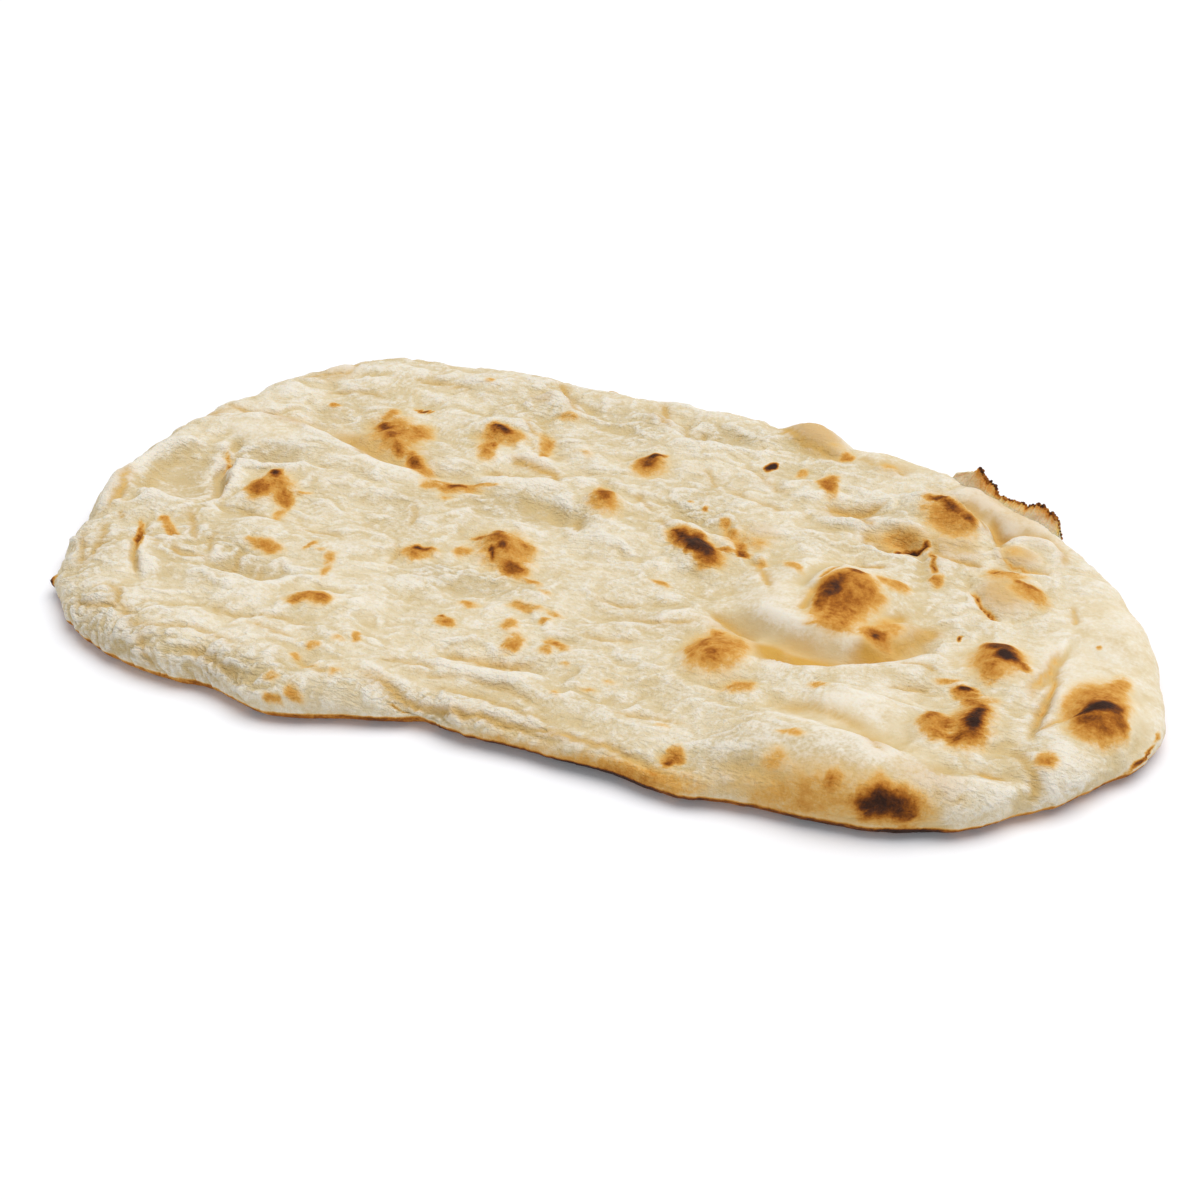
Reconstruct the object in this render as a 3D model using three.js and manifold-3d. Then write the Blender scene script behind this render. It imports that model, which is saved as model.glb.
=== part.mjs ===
// A plain pinsa base: one piece of hand-stretched dough, baked without topping.
// It is a long flat loaf with a rounded rim, folds and pillows all over its top, a large puffed
// blister right of the middle, and a burst blister whose torn wall stands up at the back right.
// Millimetres, +Z up, +X along the length, +Y to the back. The flat base lies on z = 0, and the
// origin is the middle of the foot of the box round the whole piece.

import * as THREE from 'three';
import Module from 'manifold-3d';

// ---------------------------------------------------------------- driving dimensions

const LENGTH = 330;           // end to end, along X
const WIDTH = 203;            // front to back, along Y
const WAIST = 5;              // height of the rim's outermost line
const RIM_ROUND = 13;         // the rim's shoulder ends this far in from the outline
const UNDER_ROUND = 9;        // the underside meets the table this far in from the outline
const LEAST_CREST = 1;        // the shoulder is never closer than this to the height of the waist

// The rim's outermost line seen from above, anticlockwise from the right-hand end.
const OUTLINE = [
  [165, -20], [161, 1], [153, 21], [141, 40], [127, 57], [111, 73], [90, 84], [65, 91], [40, 96],
  [14, 101], [-14, 104], [-50, 104], [-78, 105], [-100, 104], [-119, 99], [-136, 86], [-147, 70],
  [-157, 51], [-164, 29], [-165, 3], [-164, -28], [-159, -52], [-147, -71], [-128, -85],
  [-108, -91], [-88, -92], [-68, -97], [-48, -92], [-28, -88], [0, -88], [24, -89], [46, -94],
  [72, -91], [98, -91], [115, -87], [131, -75], [145, -63], [158, -48], [165, -34],
];

// How thick the dough is before its relief: x, y, thickness.
const THICKNESS = [
  [-140, 0, 12.5], [-100, 70, 12], [-60, 0, 9.5], [0, 60, 11], [0, 0, 9.5], [60, 0, 11],
  [-110, -70, 13], [-66, -82, 14], [-20, -75, 9.5], [30, -78, 10.5], [80, -75, 14], [105, -75, 15],
  [140, -40, 12], [140, 10, 11], [80, 60, 12],
];
const THICKNESS_SPREAD = 30;  // how far each of those values reaches before its neighbours take over

// Folds: height of the crest, depth of the groove on the left of the path, width of the slope on
// the right, width of the slope on the left, and the points that the crest runs through.
const FOLDS = [
  [3.4, 2.0, 14, 4, [[-153, 33], [-137, 36], [-124, 37], [-112, 33], [-100, 28], [-89, 24], [-75, 23],
    [-62, 21]]],
  [2.4, 1.4, 9, 4, [[-58, 29], [-44, 31], [-33, 35], [-26, 39], [-16, 41]]],
  [2.4, 1.6, 7, 3.5, [[-54, 89], [-47, 83], [-38, 77]]],
  [2.0, 1.4, 7, 4, [[-58, 69], [-51, 60], [-44, 50], [-38, 45]]],
  [1.8, 1.4, 7, 4, [[-20, 90], [-12, 83], [-7, 76], [4, 73], [20, 76]]],
  [2.2, 1.4, 7, 3.5, [[92, 12], [91, 20], [89.5, 27], [87, 34], [83, 38.5], [77, 42], [70, 43.5],
    [62, 41], [50, 45]]],
  [1.0, 1.2, 9, 3.5, [[64, 31], [70, 30], [76, 28], [82, 27.5], [87, 26]]],
  [4.5, 2.4, 13, 3.5, [[72, 61], [79, 60], [85, 60.5], [93, 55], [99, 50], [104, 43]]],
  [2.4, 2.2, 8, 3.5, [[101, 20], [104, 12], [109, 5], [115, 3]]],
  [2.2, 1.8, 9, 3.5, [[134, 2], [133, -8], [131.5, -18], [131, -28]]],
  [2.6, 2.0, 9, 3.5, [[133.5, -51], [134.5, -42], [137, -33], [138.5, -26]]],
  [1.8, 3.2, 9, 5, [[92, -2], [88, -13], [82, -20], [69, -20.5], [57, -18], [47, -14], [37, -11]]],
  [1.2, 0.8, 8, 3.5, [[50, -28], [57, -36.5], [67, -39.5], [76, -37.5], [84, -31], [91, -24], [98, -18]]],
  [2.6, 1.2, 10, 5, [[58, -64], [76, -68], [90, -70], [106, -75]]],
  [2.2, 1.6, 8, 3.5, [[114, -78], [125, -74], [136, -71]]],
  [2.8, 2.6, 13, 3.5, [[-127, -17], [-126, -6], [-130, 3], [-132, 7], [-126, 9], [-116, 10], [-106, 14]]],
  [1.6, 1.8, 8, 3.5, [[-141, 22], [-137, 14], [-133.5, 7]]],
  [2.8, 0.0, 7, 3.5, [[-146, 21], [-153, 13], [-158, 0], [-157, -12], [-148, -18], [-138, -20],
    [-129, -19]]],
  [2.0, 1.4, 9, 3.5, [[-115, -65], [-121, -57], [-127, -50], [-132, -43], [-136.5, -35], [-139, -28]]],
  [1.8, 1.8, 6, 4, [[-161, -4], [-158, -16], [-155, -30]]],
  [1.8, 1.4, 8, 4, [[-116, -48], [-104, -52], [-93, -52], [-84, -45]]],
  [1.8, 1.4, 8, 4, [[-36, -66], [-22, -68], [-8, -67], [4, -65]]],
  [2.2, 1.4, 7, 3.5, [[5, 28], [13, 24], [20, 21], [28, 18], [33, 13]]],
  [2.0, 1.4, 5, 3.5, [[60, -3], [63, 6], [67, 14]]],
  [1.6, 1.4, 6, 4, [[-48, -80], [-30, -81], [-10, -83], [8, -84], [24, -87], [42, -92]]],
  [1.8, 1.6, 5, 3.5, [[107, 36], [106, 43], [109, 48], [116, 50], [123, 46], [126, 39]]],
  [3.0, 0.6, 9, 5, [[84, 78], [92, 71], [99, 62], [107, 58], [116, 57], [124, 50]]],
];

// Pillows and blisters, and hollows where the height is negative: x, y, half length, half width,
// turn in degrees, height, and how softly the side runs out (1 is a crisp foot, 2 a soft one).
const PILLOWS = [
  [64, -1, 28, 22, 0, 4.4, 1.3],
  [46, 18, 24, 19, -25, 2.6, 1.5],
  [79, 9, 15, 17, 10, 2, 1.5],
  [44, -42, 12, 12, 0, 3.4, 1.1],
  [56, -56, 9, 6, -15, 1.6, 1.5],
  [37, 89, 15, 9, 0, 4.5, 1.2],
  [115, 40, 10, 9, 0, 3.4, 0.9],
  [112, 18, 10, 14, -20, 2.8, 1.2],
  [150, -34, 10, 17, 0, 3, 1.4],
  [118, -16, 9, 13, 15, 2.6, 1.4],
  [120, -53, 8, 14, 5, 2.8, 1.3],
  [109, -57, 7, 9, 0, 1.6, 1.4],
  [87, -53, 15, 15, 0, 2.6, 1.6],
  [86, -80, 36, 15, 0, 4.5, 1.8],
  [141, -59, 13, 12, 40, 2.6, 1.4],
  [20, 10, 11, 8, -40, 2.4, 1.3],
  [-133, 28, 18, 8, 0, 1.6, 1.6],
  [-100, 14, 24, 14, 0, 1.8, 1.8],
  [-114, -4, 9, 12, 0, 1.8, 1.5],
  [-94, 40, 12, 9, -40, 1.6, 1.5],
  [-35, -6, 13, 8, -45, 2, 1.5],
  [-14, 28, 9, 12, 0, 1.8, 1.5],
  [-62, 60, 10, 8, 0, 1.8, 1.4],
  [-10, 57, 8, 10, 0, 1.6, 1.4],
  [-8, 14, 15, 13, 0, 2, 1.6],
  [-74, -56, 12, 9, 20, 1.6, 1.5],
  [-104, -24, 16, 12, 0, 1.6, 1.6],
  [-70, 86, 26, 13, 0, 2, 1.8],
  [-112, 78, 20, 14, 30, 2, 1.8],
  [-142, 0, 14, 18, 10, -3.4, 0.6],
  [-122, 16, 14, 8, 10, -2.6, 1],
  [-32, 18, 20, 9, 0, -2.2, 1.8],
  [-36, -27, 16, 10, 0, -2, 1.8],
  [-14, -62, 18, 6, 0, -1.6, 1.8],
  [-108, 46, 22, 8, 0, -1.8, 1.8],
  [58, 50, 14, 9, 0, -2.4, 1.8],
  [75, 34.5, 10, 5, 0, -1.8, 1],
  [104, -38, 14, 8, 0, -1.6, 1.8],
  [-99, -44, 16, 8, 0, -2, 1.3],
  [8, -22, 22, 12, 10, -1.4, 1.8],
  [69, 0, 11, 14, -20, 1.8, 1.3],
];

const SWELL = 0.9;            // how far the dough rises and falls between its folds
const SWELL_LONG = 11;        // sets how far apart those swells lie along X
const SWELL_CROSS = 9;        // sets how far apart they lie along Y

// The torn wall of the burst blister: its foot, inside the dough, and its torn edge.
const WALL_FOOT = [
  [78, 75, 8], [86, 68, 8], [92, 61, 8], [98, 55, 8], [105, 52, 8], [112, 51, 8], [119, 46, 8],
];
const WALL_EDGE = [
  [86, 78.7, 13], [89.5, 76.6, 15], [92, 75.1, 19.2], [94, 74, 16.4], [97.5, 71.8, 15.8],
  [99.5, 70.5, 13.4], [104, 67.8, 14.2], [109, 64.8, 15], [113, 62.4, 17.2], [116.5, 60.3, 17],
  [119.5, 58.6, 15.2], [121.2, 57.5, 10.5],
];
const WALL_THICK = 3;         // of the torn wall at its foot
const TORN_THICK = 1.6;       // of the torn wall at its edge
const WALL_SAG = 1.6;         // how far the wall's face hollows between foot and edge
const TOOTH = 1.1;            // how far the torn edge's teeth rise and fall

// ---------------------------------------------------------------- how finely the shape is cut

const LONG_CELLS = 80;        // cells of the top's grid along X
const CROSS_CELLS = 48;       // cells of the top's grid along Y
const UNDER_RINGS = 3;        // rows of faces from the waist down to the table
const FOLD_STEP = 4;          // length of the straight bits that a fold's crest is measured along
const WALL_STEPS = 34;        // cells of the torn wall along its edge
const WALL_ROWS = 5;          // cells of the torn wall from foot to edge

// ---------------------------------------------------------------- the outline

/** Knots of the outline as angle and reach, both scaled so that a plain ellipse would be a circle. */
function outlineKnots() {
  const knots = OUTLINE.map(([x, y]) => {
    const u = x / (LENGTH / 2);
    const v = y / (WIDTH / 2);
    return { angle: Math.atan2(v, u), reach: Math.hypot(u, v) };
  });
  knots.sort((a, b) => a.angle - b.angle);
  const n = knots.length;
  const turn = 2 * Math.PI;
  const before = knots.slice(n - 2).map((k) => ({ angle: k.angle - turn, reach: k.reach }));
  const after = knots.slice(0, 2).map((k) => ({ angle: k.angle + turn, reach: k.reach }));
  return [...before, ...knots, ...after];
}

const KNOTS = outlineKnots();

/** The point of the rim's outermost line at an angle, on a smooth curve through the outline's points. */
function outlineAt(angle) {
  const first = KNOTS[2].angle;
  const turn = 2 * Math.PI;
  const a = ((((angle - first) % turn) + turn) % turn) + first;
  let k = 2;
  while (k < KNOTS.length - 3 && KNOTS[k + 1].angle <= a) k += 1;
  const slope = (i) => (KNOTS[i + 1].reach - KNOTS[i - 1].reach) / (KNOTS[i + 1].angle - KNOTS[i - 1].angle);
  const span = KNOTS[k + 1].angle - KNOTS[k].angle;
  const f = (a - KNOTS[k].angle) / span;
  const g = 1 - f;
  const reach = KNOTS[k].reach * (1 + 2 * f) * g * g
    + slope(k) * span * f * g * g
    + KNOTS[k + 1].reach * f * f * (3 - 2 * f)
    - slope(k + 1) * span * f * f * g;
  return [reach * Math.cos(angle) * LENGTH / 2, reach * Math.sin(angle) * WIDTH / 2];
}

// ---------------------------------------------------------------- the relief of the top

/** Thickness of the dough at a place, a smooth mean of the named values round it. */
function thickness(x, y) {
  let sum = 0;
  let weights = 0;
  for (const [tx, ty, height] of THICKNESS) {
    const weight = (THICKNESS_SPREAD ** 2 + (x - tx) ** 2 + (y - ty) ** 2) ** -2;
    sum += weight * height;
    weights += weight;
  }
  return sum / weights;
}

const CRESTS = FOLDS.map(([crest, groove, right, left, points]) => {
  const curve = new THREE.CatmullRomCurve3(points.map(([x, y]) => new THREE.Vector3(x, y, 0)));
  const steps = Math.ceil(curve.getLength() / FOLD_STEP);
  return { crest, groove, right, left, line: curve.getSpacedPoints(steps) };
});

/** Nearest place on a crest: signed distance, positive on the left, and how far along it lies, 0 to 1. */
function nearest(line, x, y) {
  let best = { distance: Infinity, side: 1, along: 0 };
  for (let i = 0; i + 1 < line.length; i += 1) {
    const dx = line[i + 1].x - line[i].x;
    const dy = line[i + 1].y - line[i].y;
    const px = x - line[i].x;
    const py = y - line[i].y;
    const f = THREE.MathUtils.clamp((px * dx + py * dy) / (dx * dx + dy * dy), 0, 1);
    const distance = Math.hypot(px - f * dx, py - f * dy);
    if (distance < best.distance) {
      best = { distance, side: Math.sign(dx * py - dy * px) || 1, along: (i + f) / (line.length - 1) };
    }
  }
  return best;
}

/** Rise of one fold at a place: a crest with a groove along its left side, tapered at both ends. */
function foldRise({ crest, groove, right, left, line }, x, y) {
  const { distance, side, along } = nearest(line, x, y);
  const width = side > 0 ? left : right;
  const taper = THREE.MathUtils.smoothstep(Math.min(along, 1 - along), -0.08, 0.22);
  const bed = side * distance - 1.5 * left;
  return taper * (crest * Math.exp(-((distance / width) ** 2)) - groove * Math.exp(-((bed / left) ** 2)));
}

/** Rise of one pillow at a place, or its depth if it is a hollow. */
function pillowRise([cx, cy, halfLength, halfWidth, turn, height, soft], x, y) {
  const a = THREE.MathUtils.degToRad(turn);
  const u = ((x - cx) * Math.cos(a) + (y - cy) * Math.sin(a)) / halfLength;
  const v = ((y - cy) * Math.cos(a) - (x - cx) * Math.sin(a)) / halfWidth;
  return height * Math.max(0, 1 - u * u - v * v) ** soft;
}

/** The slow rise and fall that hand stretching leaves everywhere. */
function swellRise(x, y) {
  const across = Math.sin(x / SWELL_LONG + 1.6 * Math.sin(y / SWELL_CROSS));
  const along = Math.sin(y / SWELL_CROSS + 1.3 * Math.sin(x / SWELL_LONG + 2));
  return SWELL * across * along;
}

/** Rise of the whole relief at a place on the flattened sheet of dough. */
function relief(x, y) {
  const folds = CRESTS.reduce((sum, fold) => sum + foldRise(fold, x, y), swellRise(x, y));
  return PILLOWS.reduce((sum, pillow) => sum + pillowRise(pillow, x, y), folds);
}

// ---------------------------------------------------------------- the sheet laid over the body

/** Angle and radius, 0 to 1, of a place on a square from -1 to 1, spread evenly over a disc. */
function squareToDisc(u, v) {
  if (u === 0 && v === 0) return { angle: 0, radius: 0 };
  const wide = Math.abs(u) >= Math.abs(v);
  const signed = wide ? u : v;
  const angle = wide ? (Math.PI / 4) * (v / u) : Math.PI / 2 - (Math.PI / 4) * (u / v);
  return { angle: signed < 0 ? angle + Math.PI : angle, radius: Math.abs(signed) };
}

/** The rim where a ray from the centre meets it: its direction, shoulder, and the arc over the shoulder. */
function rimAt(angle) {
  const [ex, ey] = outlineAt(angle);
  const reach = Math.hypot(ex, ey);
  const shoulder = reach - RIM_ROUND;
  const ray = [ex / reach, ey / reach];
  const rise = Math.max(LEAST_CREST, thickness(ray[0] * shoulder, ray[1] * shoulder) - WAIST);
  const uneven = (RIM_ROUND - rise) / (RIM_ROUND + rise);
  const arc = (Math.PI / 4) * (RIM_ROUND + rise) * (1 + uneven ** 2 / 4);
  return { ray, reach, shoulder, rise, arc };
}

/** A point of the top, with its relief, from the centre at radius 0 over the rim to its waist at 1. */
function topPoint(angle, radius) {
  const { ray, shoulder, rise, arc } = rimAt(angle);
  const s = radius * (shoulder + arc);
  const over = THREE.MathUtils.clamp((s - shoulder) / arc, 0, 1) * Math.PI / 2;
  const inside = Math.min(s, shoulder);
  const top = thickness(ray[0] * inside, ray[1] * inside);
  const lift = relief(ray[0] * s, ray[1] * s);
  const out = Math.sin(over) / RIM_ROUND;
  const up = Math.cos(over) / rise;
  const unit = Math.hypot(out, up);
  const reach = inside + RIM_ROUND * Math.sin(over) + lift * out / unit;
  const z = WAIST + (top - WAIST) * Math.cos(over) + lift * up / unit;
  return [ray[0] * reach, ray[1] * reach, Math.max(z, WAIST)];
}

/** A point of the underside's round, from the waist at 0 to the table at 1. */
function underPoint(angle, down) {
  const { ray, reach, shoulder, arc } = rimAt(angle);
  const lift = relief(ray[0] * (shoulder + arc), ray[1] * (shoulder + arc));
  const under = down * Math.PI / 2;
  const r = reach - UNDER_ROUND * (1 - Math.cos(under)) + lift * Math.cos(under);
  return [ray[0] * r, ray[1] * r, WAIST * (1 - Math.sin(under))];
}

// ---------------------------------------------------------------- the solids

/** The loaf as one closed mesh: a grid over the top, rings round the underside, and a flat base. */
function loafMesh() {
  const points = [];
  const faces = [];
  const corner = (i, j) => j * (LONG_CELLS + 1) + i;
  for (let j = 0; j <= CROSS_CELLS; j += 1) {
    for (let i = 0; i <= LONG_CELLS; i += 1) {
      const { angle, radius } = squareToDisc(2 * i / LONG_CELLS - 1, 2 * j / CROSS_CELLS - 1);
      points.push(topPoint(angle, radius));
    }
  }
  for (let j = 0; j < CROSS_CELLS; j += 1) {
    for (let i = 0; i < LONG_CELLS; i += 1) {
      const [a, b, c, d] = [corner(i, j), corner(i + 1, j), corner(i + 1, j + 1), corner(i, j + 1)];
      // a cell is cut along its more level diagonal, so that crests stay whole
      const level = Math.abs(points[a][2] - points[c][2]) < Math.abs(points[b][2] - points[d][2]);
      faces.push(...(level ? [[a, b, c], [a, c, d]] : [[a, b, d], [b, c, d]]));
    }
  }
  const rim = [];
  for (let i = 0; i < LONG_CELLS; i += 1) rim.push([i, 0]);
  for (let j = 0; j < CROSS_CELLS; j += 1) rim.push([LONG_CELLS, j]);
  for (let i = LONG_CELLS; i > 0; i -= 1) rim.push([i, CROSS_CELLS]);
  for (let j = CROSS_CELLS; j > 0; j -= 1) rim.push([0, j]);

  let above = rim.map(([i, j]) => corner(i, j));
  for (let ring = 1; ring <= UNDER_RINGS; ring += 1) {
    const below = rim.map(([i, j]) => {
      const { angle } = squareToDisc(2 * i / LONG_CELLS - 1, 2 * j / CROSS_CELLS - 1);
      points.push(underPoint(angle, ring / UNDER_RINGS));
      return points.length - 1;
    });
    above.forEach((top, k) => {
      const next = (k + 1) % above.length;
      faces.push([top, below[k], above[next]], [above[next], below[k], below[next]]);
    });
    above = below;
  }
  const foot = above.map((k) => new THREE.Vector2(points[k][0], points[k][1]));
  for (const [a, b, c] of THREE.ShapeUtils.triangulateShape(foot, [])) {
    faces.push([above[a], above[c], above[b]]);
  }
  return { points, faces };
}

/** The torn wall of the burst blister: a thin leaning shell with a toothed upper edge. */
function wallMesh() {
  const curveOf = (list) => new THREE.CatmullRomCurve3(list.map((p) => new THREE.Vector3(...p)));
  const foot = curveOf(WALL_FOOT);
  const edge = curveOf(WALL_EDGE);
  const points = [];
  const faces = [];
  const rows = WALL_ROWS + 1;
  const corner = (side, i, j) => (side * (WALL_STEPS + 1) + i) * rows + j;
  for (const side of [0, 1]) {
    for (let i = 0; i <= WALL_STEPS; i += 1) {
      const u = i / WALL_STEPS;
      const low = foot.getPointAt(u);
      const high = edge.getPointAt(u);
      high.z += TOOTH * (Math.sin(2.3 * i) + 0.6 * Math.sin(5.1 * i + 1));
      const along = edge.getTangentAt(u);
      const back = new THREE.Vector3(-along.y, along.x, 0).normalize();
      for (let j = 0; j <= WALL_ROWS; j += 1) {
        const v = j / WALL_ROWS;
        const p = low.clone().lerp(high, v);
        const through = WALL_THICK + (TORN_THICK - WALL_THICK) * v;
        p.addScaledVector(back, WALL_SAG * Math.sin(Math.PI * v) + side * through);
        points.push(p.toArray());
      }
    }
  }
  for (let i = 0; i < WALL_STEPS; i += 1) {
    for (let j = 0; j < WALL_ROWS; j += 1) {
      for (const side of [0, 1]) {
        const [a, b] = [corner(side, i, j), corner(side, i + 1, j)];
        const [c, d] = [corner(side, i + 1, j + 1), corner(side, i, j + 1)];
        faces.push(...(side === 0 ? [[a, b, c], [a, c, d]] : [[a, c, b], [a, d, c]]));
      }
    }
    for (const j of [0, WALL_ROWS]) {
      const [a, b] = [corner(0, i, j), corner(0, i + 1, j)];
      const [c, d] = [corner(1, i + 1, j), corner(1, i, j)];
      faces.push(...(j === 0 ? [[a, c, b], [a, d, c]] : [[a, b, c], [a, c, d]]));
    }
  }
  for (const i of [0, WALL_STEPS]) {
    for (let j = 0; j < WALL_ROWS; j += 1) {
      const [a, b] = [corner(0, i, j), corner(0, i, j + 1)];
      const [c, d] = [corner(1, i, j + 1), corner(1, i, j)];
      faces.push(...(i === 0 ? [[a, b, c], [a, c, d]] : [[a, c, b], [a, d, c]]));
    }
  }
  return { points, faces };
}

// ---------------------------------------------------------------- joining

const wasm = await Module();
wasm.setup();

/** A closed mesh of shared points as a solid. */
function solidOf({ points, faces }) {
  return new wasm.Manifold(new wasm.Mesh({
    numProp: 3,
    vertProperties: new Float32Array(points.flat()),
    triVerts: new Uint32Array(faces.flat()),
  }));
}

/** A solid as a geometry that a renderer can draw. */
function geometryOf(solid) {
  const mesh = solid.getMesh();
  const geometry = new THREE.BufferGeometry();
  geometry.setAttribute('position', new THREE.BufferAttribute(new Float32Array(mesh.vertProperties), 3));
  geometry.setIndex(new THREE.BufferAttribute(new Uint32Array(mesh.triVerts), 1));
  geometry.computeVertexNormals();
  geometry.computeBoundingBox();
  return geometry;
}

const FLOURED_DOUGH = new THREE.MeshStandardMaterial({ color: 0xe6d3a8, roughness: 0.85, metalness: 0 });

const dough = solidOf(loafMesh()).add(solidOf(wallMesh()));
const base = new THREE.Mesh(geometryOf(dough), FLOURED_DOUGH);
base.name = 'pinsa_base';

// the middle of the box's foot is set on the origin
const { min, max } = base.geometry.boundingBox;
base.position.set(-(min.x + max.x) / 2, -(min.y + max.y) / 2, -min.z);

const group = new THREE.Group();
group.add(base);

export default group;
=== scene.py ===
"""The looks of a plain pinsa base: hand-stretched dough, floured, baked and scorched.

The crust is one closed mesh. Its top is a flat sheet with folds, pillows, blisters and wrinkles,
laid over a rounded body, so places on it are given in millimetres on the flattened sheet. The torn
wall of the burst blister and the charred crumbs along its edge are pieces of their own.
"""

import math

import bpy
import numpy as np
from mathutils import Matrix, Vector


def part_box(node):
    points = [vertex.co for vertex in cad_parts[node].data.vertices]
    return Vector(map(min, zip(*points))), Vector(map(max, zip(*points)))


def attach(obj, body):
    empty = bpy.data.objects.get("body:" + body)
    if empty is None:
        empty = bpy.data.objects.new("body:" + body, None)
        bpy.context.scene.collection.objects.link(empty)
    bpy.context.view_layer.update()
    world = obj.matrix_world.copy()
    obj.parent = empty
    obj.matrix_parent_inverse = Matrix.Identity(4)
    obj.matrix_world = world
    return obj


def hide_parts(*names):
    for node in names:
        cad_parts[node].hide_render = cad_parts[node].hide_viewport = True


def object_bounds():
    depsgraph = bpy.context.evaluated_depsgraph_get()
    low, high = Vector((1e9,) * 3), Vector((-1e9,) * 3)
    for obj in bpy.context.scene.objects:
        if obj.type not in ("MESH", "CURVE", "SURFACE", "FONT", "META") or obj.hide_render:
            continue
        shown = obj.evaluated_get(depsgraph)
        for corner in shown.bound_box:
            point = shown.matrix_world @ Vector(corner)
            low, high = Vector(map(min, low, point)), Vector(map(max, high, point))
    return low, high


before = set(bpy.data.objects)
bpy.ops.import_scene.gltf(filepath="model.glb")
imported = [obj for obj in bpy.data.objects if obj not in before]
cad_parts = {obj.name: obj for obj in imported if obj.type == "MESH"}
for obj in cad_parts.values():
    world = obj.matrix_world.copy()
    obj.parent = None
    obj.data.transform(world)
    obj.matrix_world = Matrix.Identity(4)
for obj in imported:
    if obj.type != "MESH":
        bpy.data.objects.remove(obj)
CAD_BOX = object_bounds()
MM = 0.001

# ------------------------------------------------------------------ the body, in millimetres

LENGTH = 330.0           # end to end, along X
WIDTH = 203.0            # front to back, along Y
WAIST = 5.0              # height of the rim's outermost line
RIM_ROUND = 13.0         # the rim's shoulder ends this far in from the outline
UNDER_ROUND = 9.0        # the underside meets the table this far in from the outline
LEAST_CREST = 1.0        # the shoulder is never closer than this to the height of the waist
FOOT_STRIP = 2.0         # width of the strip that joins the rim's fine rings to the coarser base
BASE_PITS = 0.5          # how far the pits of the underside reach up from the table
PIT_SIZE = 9.0           # how far apart those pits lie
PIT_FREE = 0.03          # share of the way in from the foot that stays free of them

# The rim's outermost line seen from above, anticlockwise from the right-hand end.
OUTLINE = [
    (165, -20), (161, 1), (153, 21), (141, 40), (127, 57), (111, 73), (90, 84), (65, 91), (40, 96),
    (14, 101), (-14, 104), (-50, 104), (-78, 105), (-100, 104), (-119, 99), (-136, 86), (-147, 70),
    (-157, 51), (-164, 29), (-165, 3), (-164, -28), (-159, -52), (-147, -71), (-128, -85), (-108, -91),
    (-88, -92), (-68, -97), (-48, -92), (-28, -88), (0, -88), (24, -89), (46, -94), (72, -91),
    (98, -91), (115, -87), (131, -75), (145, -63), (158, -48), (165, -34),
]

# How thick the dough is before its relief: x, y, thickness.
THICKNESS = [
    (-140, 0, 12.5), (-100, 70, 12), (-60, 0, 9.5), (0, 60, 11), (0, 0, 9.5), (60, 0, 11),
    (-110, -70, 13), (-66, -82, 14), (-20, -75, 9.5), (30, -78, 10.5), (80, -75, 14), (105, -75, 15),
    (140, -40, 12), (140, 10, 11), (80, 60, 12),
]
THICKNESS_SPREAD = 30.0  # how far each of those values reaches before its neighbours take over

# ------------------------------------------------------------------ the relief of the sheet

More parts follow.
